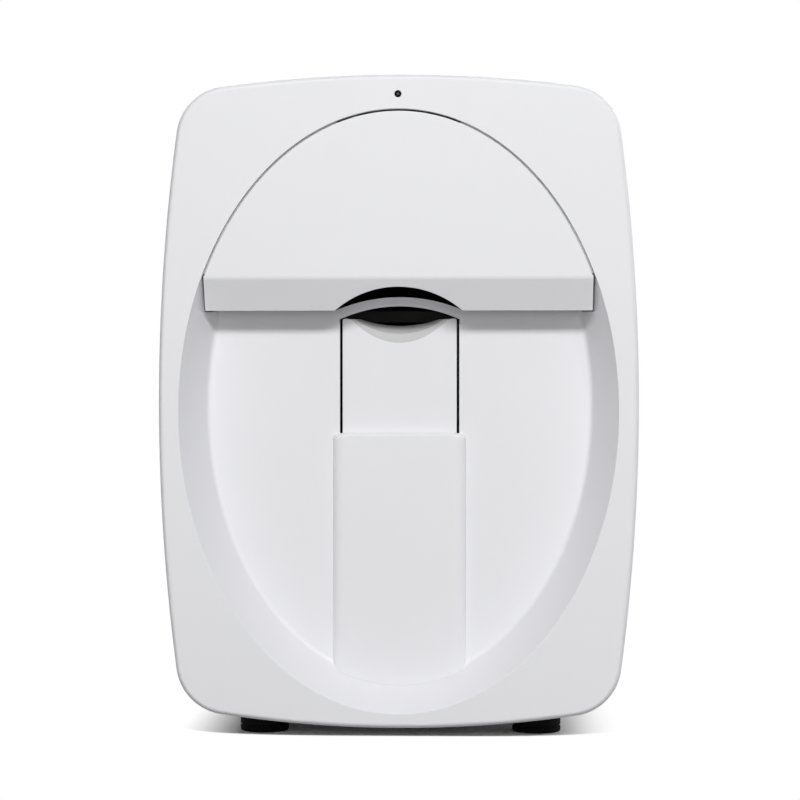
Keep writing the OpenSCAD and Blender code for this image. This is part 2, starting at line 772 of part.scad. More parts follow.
// Black walls round the finger, behind the opening.
module chamber_walls() color([0.05, 0.05, 0.06]) {
    x0 = slot_w / 2 + chamber_gap;
    y0 = floor_y + floor_t;
    both() {
        box(x0, x0 + chamber_t, y0, chamber_back, chamber_low, chamber_top);
        box(x0, x0 + chamber_flange, y0, y0 + chamber_t, chamber_low, floor_edge - 1);
    }
    slab(x0 + chamber_t, chamber_back, chamber_back + chamber_t, chamber_low, chamber_top);
}

// ---------------------------------------------------------------- chassis
module base_plate() color([0.7, 0.71, 0.73]) difference() {
    slab(plate_x + plate_t, plate_y0 - 3, plate_y1 + 3, base_z, floor_z1);
    feet_places() rod_z(0, 0, base_z - over, floor_z1 + over, foot_hole_r);
    for (s = [-1, 1]) translate([s * (plate_x - window_in), 0, 0])
        slab(window_half, plate_y0 + window_end, plate_y1 - window_end, base_z - over, floor_z1 + over);
}
module side_plate() difference() {
    box(plate_x, plate_x + plate_t, plate_y0, plate_y1, floor_z1, plate_z1);
    for (y = [plate_y0 + plate_hole_in, plate_y1 - plate_hole_in], z = plate_hole_z)
        rod_x(plate_x - over, plate_x + plate_t + over, y, z, plate_hole_r);
}
module left_side_plate() color([0.7, 0.71, 0.73]) mirror([1, 0, 0]) side_plate();
module right_side_plate() color([0.7, 0.71, 0.73]) side_plate();

module rear_crossbar() color([0.66, 0.67, 0.69]) difference() {
    union() {
        slab(plate_x, crossbar_y, crossbar_y + crossbar_t, gantry_z - block_h / 2, gantry_z + block_h / 2);
        slab(motor_w / 2, crossbar_y, crossbar_y + crossbar_t, gantry_z - 4, screw_z + motor_w / 2);
    }
    both() rod_y(y_rod_x, crossbar_y - over, crossbar_y + crossbar_t + over, gantry_z, y_rod_r);
    rod_y(0, crossbar_y - over, crossbar_y + crossbar_t + over, screw_z, shaft_hole_r);
}
module front_rod_brackets() color([0.3, 0.31, 0.33]) both() difference() {
    box(block_x, plate_x, bracket_y, bracket_y + bracket_t, gantry_z - block_h / 2, gantry_z + block_h / 2);
    rod_y(y_rod_x, bracket_y + bracket_sink, bracket_y + bracket_t + over, gantry_z, y_rod_r);
}
module y_guide_rods() color([0.8, 0.81, 0.83])
    both() rod_y(y_rod_x, bracket_y + bracket_sink, crossbar_y + crossbar_t, gantry_z, y_rod_r);
module y_motor() color([0.16, 0.16, 0.17]) difference() {
    y0 = crossbar_y + crossbar_t;
    union() {
        slab(motor_w / 2, y0, y0 + motor_l, screw_z - motor_w / 2, screw_z + motor_w / 2);
        rod_y(0, crossbar_y - motor_shaft_l, y0 + 1, screw_z, motor_shaft_r);
    }
    for (x = [-1, 1], z = [-1, 1])
        translate([x * motor_w / 2, 0, screw_z + z * motor_w / 2]) rotate([0, 45, 0])
            slab(motor_chamfer / 2, y0 - over, y0 + motor_l + over, -motor_chamfer / 2, motor_chamfer / 2);
}
module y_lead_screw() color([0.72, 0.73, 0.75])
    rod_y(0, gantry_y1 - screw_in, crossbar_y - motor_shaft_l - 0.5, screw_z, screw_r);
module screw_coupler() color([0.75, 0.76, 0.78]) difference() {
    joint_y = crossbar_y - motor_shaft_l - 0.5;
    rod_y(0, crossbar_y - 0.5 - coupler_l, crossbar_y - 0.5, screw_z, coupler_r);
    rod_y(0, crossbar_y - 1.5 - coupler_l, joint_y + 0.1, screw_z, screw_r);
    rod_y(0, joint_y, crossbar_y + over, screw_z, motor_shaft_r + running);
}

// ---------------------------------------------------------------- gantry
module gantry_frame() color([0.22, 0.23, 0.25]) difference() {
    beam_y = gantry_y1 - beam_t;
    union() {
        both() box(block_x, block_x + block_w, gantry_y0, gantry_y1,
            gantry_z - block_h / 2, gantry_z + block_h / 2);
        slab(block_x + 1, beam_y, gantry_y1, gantry_z - block_h / 2, gantry_z + block_h / 2);
        slab(nut_plate_w / 2, beam_y, gantry_y1, gantry_z, screw_z + nut_r);
    }
    both() rod_y(y_rod_x, gantry_y0 - over, gantry_y1 + over, gantry_z, y_rod_r + y_bush_t);
    for (y = [x_rod_y0, x_rod_y1]) rod_x(-block_x - 2, block_x + 2, y, gantry_z, x_rod_r);
    rod_y(pulley_x, beam_y - over, gantry_y1 + over, gantry_z, shaft_r + 1);
    rod_y(-pulley_x, beam_y - over, gantry_y1 + over, gantry_z, shaft_r);
    rod_y(0, beam_y - over, gantry_y1 + over, screw_z, screw_r + nut_wall);
}
module gantry_bushings() color([0.72, 0.55, 0.25]) both() difference() {
    rod_y(y_rod_x, gantry_y0, gantry_y1, gantry_z, y_rod_r + y_bush_t);
    rod_y(y_rod_x, gantry_y0 - over, gantry_y1 + over, gantry_z, y_rod_r + running);
}
module x_guide_rods() color([0.8, 0.81, 0.83])
    for (y = [x_rod_y0, x_rod_y1]) rod_x(-block_x - 2, block_x + 2, y, gantry_z, x_rod_r);
module x_motor() color([0.16, 0.16, 0.17]) {
    rod_y(pulley_x, gantry_y1, gantry_y1 + x_motor_l, gantry_z, x_motor_r);
    rod_y(pulley_x, belt_front - 1, gantry_y1 + 1, gantry_z, shaft_r);
}
module idler_pin() color([0.75, 0.76, 0.78]) {
    rod_y(-pulley_x, belt_front - 1, gantry_y1 + 1, gantry_z, shaft_r);
    rod_y(-pulley_x, belt_front - 0.9 - pin_cap_t, belt_front - 0.9, gantry_z, shaft_r + 0.8);
}
module pulley(x) difference() {
    union() {
        rod_y(x, belt_front - pulley_gap, belt_back + pulley_gap, gantry_z, pulley_r);
        for (y = [belt_front - pulley_gap - pulley_rim, belt_back + pulley_gap])
            rod_y(x, y, y + pulley_rim, gantry_z, pulley_r + belt_t + 0.6);
    }
    rod_y(x, belt_y - belt_w, belt_y + belt_w, gantry_z, shaft_r + running);
}
module drive_pulley() color([0.75, 0.76, 0.78]) pulley(pulley_x);
module idler_pulley() color([0.75, 0.76, 0.78]) pulley(-pulley_x);
function belt_loop(r) =
    concat(arc([pulley_x, gantry_z], r, -90, 90, 24), [[pulley_x, gantry_z + r]],
        arc([-pulley_x, gantry_z], r, 90, 270, 24), [[-pulley_x, gantry_z - r]]);
module x_belt() color([0.08, 0.08, 0.09]) difference() {
    along_y(belt_front, belt_back) polygon(belt_loop(pulley_r + loose + belt_t));
    along_y(belt_front - over, belt_back + over) polygon(belt_loop(pulley_r + loose));
}
module lead_nut() color([0.72, 0.55, 0.25]) difference() {
    union() {
        rod_y(0, gantry_y1, gantry_y1 + nut_flange_t, screw_z, nut_r);
        rod_y(0, gantry_y1 - beam_t, gantry_y1 + nut_l, screw_z, screw_r + nut_wall);
    }
    rod_y(0, gantry_y1 - beam_t - over, gantry_y1 + nut_l + over, screw_z, screw_r + running);
}

// ---------------------------------------------------------------- carriage
module cartridge_carriage() color([0.13, 0.13, 0.14]) difference() {
    lug_x = latch_w / 2 + lug_gap;
    clamp_z = gantry_z + pulley_r;
    nose_y = cartridge_y0 + nose_in;
    union() {
        slab(carriage_x, gantry_y0, carriage_y1, gantry_z - carriage_down, gantry_z + carriage_up);
        slab(carriage_x, cradle_y0, gantry_y0 + 2, cartridge_z - cradle_t, cradle_top);
        both() box(lug_x, lug_x + lug_t, latch_y - lug_side, gantry_y0 + lug_side,
            cradle_top + lug_low, latch_z + lug_side);
        slab(clamp_w / 2, carriage_y1 - 1, belt_back + 0.4, clamp_z - 2, clamp_z - 2 + clamp_h);
        slab(carriage_x + rib_w, cradle_y0 + rib_y, cradle_y0 + 2 * rib_y,
            cartridge_z + rib_z, cartridge_z + rib_z + rib_h);
    }
    slab(cartridge_w / 2, cradle_y0 - over, cartridge_y1, cartridge_z, cradle_top + over);
    slab(nose_half + nose_gap, nose_y - nose_gap, nose_y + nose_l + nose_gap,
        cartridge_z - cradle_t - over, cartridge_z + over);
    for (y = [x_rod_y0, x_rod_y1])
        rod_x(-carriage_x - over, carriage_x + over, y, gantry_z, x_rod_r + x_bush_t);
    slab(clamp_w / 2 + over, belt_front - 0.4, belt_back + over, clamp_z, clamp_z + belt_t + 0.6);
    rod_x(-carriage_x, carriage_x, latch_y, latch_z, latch_pin_r);
}
module carriage_bushings() color([0.72, 0.55, 0.25])
    for (y = [x_rod_y0, x_rod_y1], x = [-carriage_x, carriage_x - x_bush_l]) difference() {
        rod_x(x, x + x_bush_l, y, gantry_z, x_rod_r + x_bush_t);
        rod_x(x - over, x + x_bush_l + over, y, gantry_z, x_rod_r + running);
    }
module ink_cartridge() color([0.2, 0.21, 0.23]) {
    nose_y = cartridge_y0 + nose_in;
    slab(cartridge_w / 2 - loose, cartridge_y0, cartridge_y1 - 0.2, cartridge_z, cartridge_z + cartridge_h);
    slab(nose_half, nose_y, nose_y + nose_l, nozzle_z + nozzle_t, cartridge_z + over);
}
module nozzle_plate() color([0.8, 0.66, 0.3]) {
    nose_y = cartridge_y0 + nose_in;
    slab(nose_half - nozzle_side, nose_y + nozzle_side, nose_y + nose_l - nozzle_side,
        nozzle_z, nozzle_z + nozzle_t);
}
module latch_pin() color([0.75, 0.76, 0.78]) {
    half = latch_w / 2 + lug_gap + lug_t;
    rod_x(-half, half, latch_y, latch_z, latch_pin_r);
}
module cartridge_latch() color([0.15, 0.35, 0.6]) difference() {
    top = cartridge_z + cartridge_h + loose;
    front = cartridge_y0 - loose - cradle_wall;
    union() {
        rod_x(-latch_w / 2, latch_w / 2, latch_y, latch_z, latch_r);
        slab(latch_w / 2, front, latch_y, top, top + latch_t);
        slab(latch_w / 2, latch_y - latch_t, latch_y + 1, top, latch_z);
        slab(latch_w / 2, front, front + cradle_wall, top - latch_lip, top + latch_t);
    }
    rod_x(-latch_w, latch_w, latch_y, latch_z, latch_pin_r + running);
}
module camera_module() color([0.1, 0.32, 0.18]) translate([-carriage_x - rib_w, cradle_y0 + 2, cartridge_z]) {
    box(-camera_w, 0, 0, camera_l, camera_h, camera_h + camera_board_t);
    rod_z(-camera_w / 2, camera_l / 2, 0, camera_h, camera_r);
}
module camera_lens() color([0.05, 0.06, 0.1]) translate([-carriage_x - rib_w, cradle_y0 + 2, 0])
    rod_z(-camera_w / 2, camera_l / 2, cartridge_z - lens_l, cartridge_z, lens_r);
module nail_light() color([0.92, 0.92, 0.85]) translate([carriage_x + rib_w, cradle_y0 + 1, cartridge_z + 4]) {
    box(0, lamp_w, 0, lamp_l, 0, lamp_t);
    for (y = [2, 2 + lamp_pitch]) box(2, 2 + lamp_cap, y, y + lamp_cap, -lamp_cap_t, 0);
}

// ---------------------------------------------------------------- electronics
module main_board() color([0.08, 0.33, 0.17]) {
    front = main_back - main_l;
    top = main_z + main_t;
    slab(main_w / 2, front, main_back, main_z, top);
    translate([-socket_x / 10, front + 30, top]) slab(chip_w / 2, 0, chip_w, 0, chip_h);
    box(main_w / 2 - 4 - power_w, main_w / 2 - 4, front + 10, front + 10 + power_l, top, top + power_h);
    for (i = [0:4]) translate([4 - main_w / 2 + i * plug_pitch, front + 2, top])
        box(0, plug_w, 0, plug_l, 0, plug_h);
    for (i = [0:2]) rod_z(chip_w + i * can_pitch, main_back - 10, top, top + can_h, can_r);
}
module board_standoffs() color([0.78, 0.66, 0.35])
    for (x = [standoff_in - main_w / 2, main_w / 2 - standoff_in],
        y = [main_back - main_l + 12, main_back - standoff_in]) rod_z(x, y, floor_z1, main_z, standoff_r);

module power_inlet() color([0.07, 0.07, 0.08]) translate([-socket_x, 0, socket_z]) difference() {
    union() {
        slab(inlet_w / 2 - 0.2, socket_y - socket_l, socket_y + 0.4, 0.2 - inlet_h / 2, inlet_h / 2 - 0.2);
        slab(inlet_flange_w / 2, socket_y, socket_y + flange_t, -flange_h / 2, flange_h / 2);
    }
    rod_y(0, socket_y - inlet_deep, back_y + over, 0, inlet_r);
}
module power_switch_frame() color([0.07, 0.07, 0.08]) translate([socket_x, 0, socket_z]) difference() {
    pin = rocker_pin_x + 0.1;
    union() {
        slab(switch_w / 2 - 0.2, socket_y - socket_l, socket_y + 0.4, 0.2 - switch_h / 2, switch_h / 2 - 0.2);
        slab(switch_flange_w / 2, socket_y, socket_y + flange_t, -flange_h / 2, flange_h / 2);
    }
    slab(switch_hole_w / 2, socket_y - switch_deep, back_y + over, -switch_hole_h / 2, switch_hole_h / 2);
    rod_x(-pin, pin, rocker_y, 0, rocker_pin_r + running);
}
module power_rocker() color([0.12, 0.12, 0.13])
    translate([socket_x, rocker_y, socket_z]) rotate([rocker_tilt, 0, 0]) {
        h = rocker_h;
        along_x(-rocker_w / 2, rocker_w / 2)
            polygon([[-2, -h / 2], [2.6, -h], [4.4, 0.4 - h], [2.9, 0], [4.4, h - 0.4], [2.6, h], [-2, h / 2]]);
        rod_x(-rocker_pin_x, rocker_pin_x, 0, 0, rocker_pin_r);
    }

front_cover();
lift_cover_panel();
rear_housing();
back_panel();
dust_filter();
rubber_feet();
foot_screws();
panel_screws();
base_plate();
left_side_plate();
right_side_plate();
rear_crossbar();
front_rod_brackets();
y_guide_rods();
y_motor();
chamber_walls();
lift_guide_base();
lift_guide_rods();
lift_return_springs();
status_light();
status_light_board();
power_switch_frame();
power_inlet();
main_board();
board_standoffs();
door_hinge_brackets();
door_hinge_pins();
cartridge_door();
door_hinge_arms();
finger_lift();
finger_pad();
lift_bushings();
gantry_frame();
gantry_bushings();
x_guide_rods();
x_motor();
lead_nut();
idler_pin();
x_belt();
cartridge_carriage();
carriage_bushings();
ink_cartridge();
nozzle_plate();
camera_module();
camera_lens();
nail_light();
latch_pin();
cartridge_latch();
drive_pulley();
idler_pulley();
y_lead_screw();
screw_coupler();
power_rocker();
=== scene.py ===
"""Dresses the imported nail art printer: smooth mouldings, detailed insides, materials, light and camera."""
import json
import math

import bmesh
import bpy
import numpy as np
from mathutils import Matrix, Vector

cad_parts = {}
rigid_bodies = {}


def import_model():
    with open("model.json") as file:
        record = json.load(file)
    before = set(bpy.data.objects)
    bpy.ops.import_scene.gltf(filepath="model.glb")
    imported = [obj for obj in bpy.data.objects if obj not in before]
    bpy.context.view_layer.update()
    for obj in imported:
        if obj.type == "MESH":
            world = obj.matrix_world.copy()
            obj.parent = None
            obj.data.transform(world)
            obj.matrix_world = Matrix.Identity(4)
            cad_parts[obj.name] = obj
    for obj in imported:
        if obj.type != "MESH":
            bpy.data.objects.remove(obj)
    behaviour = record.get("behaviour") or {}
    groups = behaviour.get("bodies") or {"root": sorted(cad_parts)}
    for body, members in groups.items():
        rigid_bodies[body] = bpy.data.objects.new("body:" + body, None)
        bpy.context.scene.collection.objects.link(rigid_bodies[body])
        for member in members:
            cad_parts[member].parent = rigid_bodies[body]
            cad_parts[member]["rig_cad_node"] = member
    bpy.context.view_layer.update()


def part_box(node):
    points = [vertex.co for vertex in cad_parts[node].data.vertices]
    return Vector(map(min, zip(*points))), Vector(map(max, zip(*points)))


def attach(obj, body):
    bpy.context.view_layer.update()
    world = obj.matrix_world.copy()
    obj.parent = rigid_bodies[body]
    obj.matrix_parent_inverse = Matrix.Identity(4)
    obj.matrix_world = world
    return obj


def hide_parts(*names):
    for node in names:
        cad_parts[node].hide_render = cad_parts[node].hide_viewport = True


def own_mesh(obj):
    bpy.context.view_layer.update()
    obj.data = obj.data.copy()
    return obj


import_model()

MM = 0.001


# ------------------------------------------------------------------ sizes, in mm, from the frame
def in_mm(box):
    """A box's low and high corners in mm."""
    return [np.array(corner) / MM for corner in box]


COVER_LOW, COVER_HIGH = in_mm(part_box("front_cover"))
SHELL_LOW, SHELL_HIGH = in_mm(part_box("rear_housing"))
LIFT_LOW, LIFT_HIGH = in_mm(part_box("finger_lift"))
PANEL_HIGH = in_mm(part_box("lift_cover_panel"))[1]
DOOR_HIGH = in_mm(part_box("cartridge_door"))[1]

FRONT, BACK = COVER_LOW[1], SHELL_HIGH[1]
SPLIT = COVER_HIGH[1]
BOTTOM, TOP = SHELL_LOW[2], SHELL_HIGH[2]
WIDTH = COVER_HIGH[0] - COVER_LOW[0]
MID = (BOTTOM + TOP) / 2
SIDE_R, TOP_R, BOTTOM_R, CORNER_R = 850, 568, 506, 22
EDGE_R, SPLIT_R = 2, 0.25
WALL = 2.5

# The oval, the recess floor inside it, and the crease where the door bends into its visor strip.
OVAL_A, OVAL_B, OVAL_DROP = 91.3, 125.5, 4.1
OVAL_Z = MID - OVAL_DROP
FLOOR_A, FLOOR_B, FLOOR_RISE = 81.3, 116, 2.2
FLOOR_Z = OVAL_Z + FLOOR_RISE
FLOOR_T = 2.2
FLOOR_Y = PANEL_HIGH[1] - FLOOR_T
RECESS = FLOOR_Y - FRONT
BOWL_WALL = 2.6
CREASE_UP, VISOR_DROP, VISOR_LIP = 55.2, 13.2, 2
CREASE = OVAL_Z + CREASE_UP
VISOR_LOW = CREASE - VISOR_DROP
VISOR_BACK = DOOR_HIGH[1] - VISOR_LIP - FRONT
DOOR_T = 2.2
SEAM = 0.8
VISOR_HALF = OVAL_A * math.sqrt(1 - (CREASE_UP / OVAL_B) ** 2) - SEAM
VISOR_ARCH_W, VISOR_ARCH_H = 53.6, 9.8

# The opening for the finger and the lift in it.
LOOSE = 0.3
LIFT_TOP = LIFT_HIGH[2]
SLOT_W, SLOT_TOP = 50.5, LIFT_TOP - LOOSE
ARCH_H, ARCH_BAND = 5.5, 3.8
BAND_TOP = SLOT_TOP + ARCH_H + ARCH_BAND
LIFT_ROD_X = 16
TROUGH_W, TROUGH_H = 2 * LIFT_HIGH[0] - 7, 4
LINER_DEPTH = 12

FOOT_X, FOOT_R = 58, 10.3
FOOT_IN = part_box("rubber_feet")[0][1] / MM + FOOT_R - FRONT
LIGHT_Z = TOP - 8.4
PANEL_SCREW_IN = 6
OVER = 1        # how far a cutter reaches past what it cuts
OVAL_POINTS = 288


# ------------------------------------------------------------------ outlines, as points in X and Z
def meet(c0, r0, c1, r1, side):
    """Where two circles meet, on one side of the line through their middles."""
    c0, c1 = np.array(c0), np.array(c1)
    d = np.linalg.norm(c1 - c0)
    u = (c1 - c0) / d
    a = (r0 * r0 - r1 * r1 + d * d) / (2 * d)
    return c0 + a * u + side * math.sqrt(r0 * r0 - a * a) * np.array([-u[1], u[0]])


def arc(c, r, a0, a1, n):
    """Points along a circle from angle a0 up to, but not at, a1."""
    turns = np.linspace(a0, a1, n, endpoint=False)
    return [(c[0] + r * math.cos(a), c[1] + r * math.sin(a)) for a in turns]


SIDE_C = (WIDTH / 2 - SIDE_R, MID)
TOP_C = (0, TOP - TOP_R)
BOTTOM_C = (0, BOTTOM + BOTTOM_R)
CORNER_TOP = meet(SIDE_C, SIDE_R - CORNER_R, TOP_C, TOP_R - CORNER_R, 1)
CORNER_BOTTOM = meet(SIDE_C, SIDE_R - CORNER_R, BOTTOM_C, BOTTOM_R - CORNER_R, -1)


def direction(c, p):
    """The angle at which p is seen from c."""
    return math.atan2(p[1] - c[1], p[0] - c[0])


def outline(inset=0.0):
    """The case seen from the front: bowed sides, arched top and bottom, round corners."""
    ab, a0 = direction(BOTTOM_C, CORNER_BOTTOM), direction(SIDE_C, CORNER_BOTTOM)
    a1, at = direction(SIDE_C, CORNER_TOP), direction(TOP_C, CORNER_TOP)
    half = (arc(BOTTOM_C, BOTTOM_R - inset, -math.pi / 2, ab, 14)
            + arc(CORNER_BOTTOM, CORNER_R - inset, ab, a0, 28)
            + arc(SIDE_C, SIDE_R - inset, a0, 0, 14) + arc(SIDE_C, SIDE_R - inset, 0, a1, 14)
            + arc(CORNER_TOP, CORNER_R - inset, a1, at, 28)
            + arc(TOP_C, TOP_R - inset, at, math.pi / 2, 14))
    return half + [(0, TOP - inset)] + [(-x, z) for x, z in half[:0:-1]]


def oval(a, b, z, grow=0.0):
    """An oval of half width a and half height b, moved outwards by grow, a number or one for each point."""
    turns = np.linspace(0, 2 * math.pi, OVAL_POINTS, endpoint=False)
    grow = np.broadcast_to(grow, turns.shape)
    return [((a + g) * math.cos(t), z + (b + g) * math.sin(t)) for t, g in zip(turns, grow)]


def arch_radius(w, h):
    """The radius of an arc over a chord of width w that rises by h."""
    return (w * w / 4 + h * h) / (2 * h)


def rounded_rect(x0, x1, z0, z1, r, n=6):
    """A rectangle with four round corners, counter-clockwise."""
    q = math.pi / 2
    return (arc((x1 - r, z0 + r), r, -q, 0, n) + [(x1, z0 + r)]
            + arc((x1 - r, z1 - r), r, 0, q, n) + [(x1 - r, z1)]
            + arc((x0 + r, z1 - r), r, q, 2 * q, n) + [(x0, z1 - r)]
            + arc((x0 + r, z0 + r), r, 2 * q, 3 * q, n) + [(x0 + r, z0)])


def grown(points, d):
    """The outline moved outwards by d, each point along the mean of its two edges' normals."""
    p = np.array(points)
    before, after = p - np.roll(p, 1, axis=0), np.roll(p, -1, axis=0) - p
    n0 = np.stack([before[:, 1], -before[:, 0]], 1)
    n1 = np.stack([after[:, 1], -after[:, 0]], 1)
    n0 /= np.linalg.norm(n0, axis=1, keepdims=True)
    n1 /= np.linalg.norm(n1, axis=1, keepdims=True)
    m = n0 + n1
    m /= np.linalg.norm(m, axis=1, keepdims=True)
    k = d / np.clip((m * n0).sum(1), 0.3, 1)
    return [tuple(q) for q in p + m * k[:, None]]


# ------------------------------------------------------------------ mesh tools
def new_object(name, verts, faces):
    """An object from points in mm."""
    mesh = bpy.data.meshes.new(name)
    mesh.from_pydata([Vector(v) * MM for v in verts], [], faces)
    mesh.validate()
    obj = bpy.data.objects.new(name, mesh)
    bpy.context.scene.collection.objects.link(obj)
    return obj


def skin(name, rings):
    """A closed solid through rings of points, listed from front to back."""
    n = len(rings[0])
    verts = [p for loop in rings for p in loop]
    faces = [list(range(n)), [(len(rings) - 1) * n + i for i in range(n - 1, -1, -1)]]
    for k in range(len(rings) - 1):
        for i in range(n):
            j = (i + 1) % n
            faces.append([k * n + j, k * n + i, (k + 1) * n + i, (k + 1) * n + j])
    obj = new_object(name, verts, faces)
    fix_normals(obj)
    return obj


def fix_normals(obj):
    """Turns all faces outwards."""
    bm = bmesh.new()
    bm.from_mesh(obj.data)
    bmesh.ops.recalc_face_normals(bm, faces=bm.faces)
    bm.to_mesh(obj.data)
    bm.free()


def ring(points, y):
    """Points in X and Z, set at a depth."""
    return [(x, y, z) for x, z in points]


def prism(name, points, y0, y1, front_r=0.0, back_r=0.0, steps=4):
    """An outline stretched from y0 to y1, its edges rounded; a negative radius flares outwards."""
    rings = []
    ts = np.linspace(0, math.pi / 2, steps + 1)
    if front_r:
        r = abs(front_r)
        rings += [ring(grown(points, -front_r * (1 - math.sin(t))), y0 + r * (1 - math.cos(t))) for t in ts]
    else:
        rings.append(ring(points, y0))
    if back_r:
        r = abs(back_r)
        rings += [ring(grown(points, -back_r * (1 - math.sin(t))), y1 - r * (1 - math.cos(t)))
                  for t in ts[::-1]]
    else:
        rings.append(ring(points, y1))
    return skin(name, rings)


def flared(name, points, y0, y1, r, steps=4):
    """A cutter from outside the front face at y0, which rounds the edge it leaves there by r."""
    rings = [ring(grown(points, r + 0.001), y0 - 1)]
    rings += [ring(grown(points, r * (1 - math.sin(t))), y0 + r * (1 - math.cos(t)))
              for t in np.linspace(0, math.pi / 2, steps + 1)]
    rings.append(ring(points, y1))
    return skin(name, rings)


def stretched(name, near, far):
    """A closed solid between two outlines with as many points."""
    n = len(near)
    faces = [list(range(n)), list(range(2 * n - 1, n - 1, -1))]
    faces += [[i, (i + 1) % n, n + (i + 1) % n, n + i] for i in range(n)]
    obj = new_object(name, near + far, faces)
    fix_normals(obj)
    return obj


def across(name, points, x0, x1):
    """An outline in Y and Z, stretched from x0 to x1."""
    return stretched(name, [(x0, y, z) for y, z in points], [(x1, y, z) for y, z in points])


def block(name, x0, x1, y0, y1, z0, z1):
    return across(name, [(y0, z0), (y1, z0), (y1, z1), (y0, z1)], x0, x1)


def tube_z(name, x, y, z0, z1, r, n=64):
    """A cylinder along Z, as a cutter or a part of a piece."""
    circle = arc((x, y), r, 0, 2 * math.pi, n)
    return stretched(name, [(px, py, z0) for px, py in circle], [(px, py, z1) for px, py in circle])


def tube_y(name, x, z, y0, y1, r, n=64):
    """A cylinder along Y."""
    return prism(name, arc((x, z), r, 0, 2 * math.pi, n), y0, y1)


def applied(obj):
    """Turns an object's modifiers into its mesh."""
    deps = bpy.context.evaluated_depsgraph_get()
    deps.update()
    mesh = bpy.data.meshes.new_from_object(obj.evaluated_get(deps))
    old = obj.data
    obj.modifiers.clear()
    obj.data = mesh
    bpy.data.meshes.remove(old)
    return obj


def boolean(obj, others, operation):
    """Works the others into an object one by one, and removes them."""
    for other in others:
        mod = obj.modifiers.new(operation, "BOOLEAN")
        mod.operation = operation
        mod.solver = "EXACT"
        mod.object = other
        applied(obj)
        bpy.data.objects.remove(other)
    return obj


def cut(obj, *others):
    return boolean(obj, others, "DIFFERENCE")


def fuse(obj, *others):
    return boolean(obj, others, "UNION")


def common(obj, *others):
    return boolean(obj, others, "INTERSECT")


def joined(name, objs):
    """Several separate solids as one object."""
    verts, faces = [], []
    for o in objs:
        base = len(verts)
        verts += [v.co / MM for v in o.data.vertices]
        faces += [[base + i for i in p.vertices] for p in o.data.polygons]
        bpy.data.objects.remove(o)
    return new_object(name, verts, faces)


def cleaned(obj, angle=0.4):
    """Removes the leftovers of booleans: doubled points and needless edges on flat faces."""
    bm = bmesh.new()
    bm.from_mesh(obj.data)
    bmesh.ops.remove_doubles(bm, verts=bm.verts, dist=2e-6)
    bmesh.ops.dissolve_degenerate(bm, edges=bm.edges, dist=1e-6)
    bmesh.ops.dissolve_limit(bm, angle_limit=math.radians(angle), verts=bm.verts, edges=bm.edges)
    bm.to_mesh(obj.data)
    bm.free()
    return obj


def bevelled(obj, width, segments=2, angle=40):
    """Rounds the edges that are sharper than angle."""
    mod = obj.modifiers.new("bevel", "BEVEL")
    mod.width = width * MM
    mod.segments = segments
    mod.limit_method = "ANGLE"
    mod.angle_limit = math.radians(angle)
    mod.use_clamp_overlap = True
    return applied(obj)


def smooth(obj, angle=32):
    """Smooth shading with sharp edges kept and large faces flat."""
    obj.data.shade_smooth()
    obj.data.set_sharp_from_angle(angle=math.radians(angle))
    mod = obj.modifiers.new("weighted", "WEIGHTED_NORMAL")
    mod.keep_sharp = True
    mod.weight = 100
    return obj


def dress(obj, material, body, nodes=()):
    """Gives a finished piece its material and body, hides the CAD nodes that it stands for, and shades it
    smooth.
    """
    obj.data.materials.clear()
    obj.data.materials.append(material)
    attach(obj, body)
    if nodes:
        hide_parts(*nodes)
    return smooth(obj)


# ------------------------------------------------------------------ materials
def plastic(name, colour, rough, grain=0.0006, bump=0.03, spread=0.02, coat=0.0, metal=0.0, streak=None):
    """A moulded or machined finish: fine bump, and faint patches of lighter and darker colour and gloss."""
    mat = bpy.data.materials.new(name)
    mat.use_nodes = True
    nodes, links = mat.node_tree.nodes, mat.node_tree.links
    shader = nodes["Principled BSDF"]
    shader.inputs["Metallic"].default_value = metal
    shader.inputs["Coat Weight"].default_value = coat
    shader.inputs["Coat Roughness"].default_value = 0.12
    place = nodes.new("ShaderNodeTexCoord")
    mapping = nodes.new("ShaderNodeMapping")
    mapping.inputs["Scale"].default_value = streak or (1, 1, 1)
    links.new(place.outputs["Object"], mapping.inputs["Vector"])
    patch, gloss_patch, gloss_change = 0.03, 0.008, 0.03

    def noise(size, detail):
        node = nodes.new("ShaderNodeTexNoise")
        node.inputs["Scale"].default_value = 1 / size
        node.inputs["Detail"].default_value = detail
        links.new(mapping.outputs["Vector"], node.inputs["Vector"])
        return node.outputs["Fac"]

    def ramp(source, low, high, target):
        node = nodes.new("ShaderNodeMapRange")
        node.inputs["From Min"].default_value = 0.3
        node.inputs["From Max"].default_value = 0.7
        node.inputs["To Min"].default_value = low
        node.inputs["To Max"].default_value = high
        links.new(source, node.inputs["Value"])
        links.new(node.outputs["Result"], target)

    tint = nodes.new("ShaderNodeMix")
    tint.data_type = "RGBA"
    tint.inputs["A"].default_value = (*[c * (1 - spread) for c in colour], 1)
    tint.inputs["B"].default_value = (*[min(1, c * (1 + spread)) for c in colour], 1)
    ramp(noise(patch, 3), 0, 1, tint.inputs["Factor"])
    links.new(tint.outputs["Result"], shader.inputs["Base Color"])
    gloss = noise(gloss_patch, 2)
    ramp(gloss, rough - gloss_change, rough + gloss_change, shader.inputs["Roughness"])
    relief = nodes.new("ShaderNodeBump")
    relief.inputs["Strength"].default_value = bump
    relief.inputs["Distance"].default_value = grain / 4
    links.new(noise(grain, 2), relief.inputs["Height"])
    links.new(relief.outputs["Normal"], shader.inputs["Normal"])
    return mat


def grey(value):
    """A linear grey or colour from an 8-bit one."""
    values = value if isinstance(value, tuple) else (value,) * 3
    return [((v / 255 + 0.055) / 1.055) ** 2.4 if v > 10 else v / 255 / 12.92 for v in values]


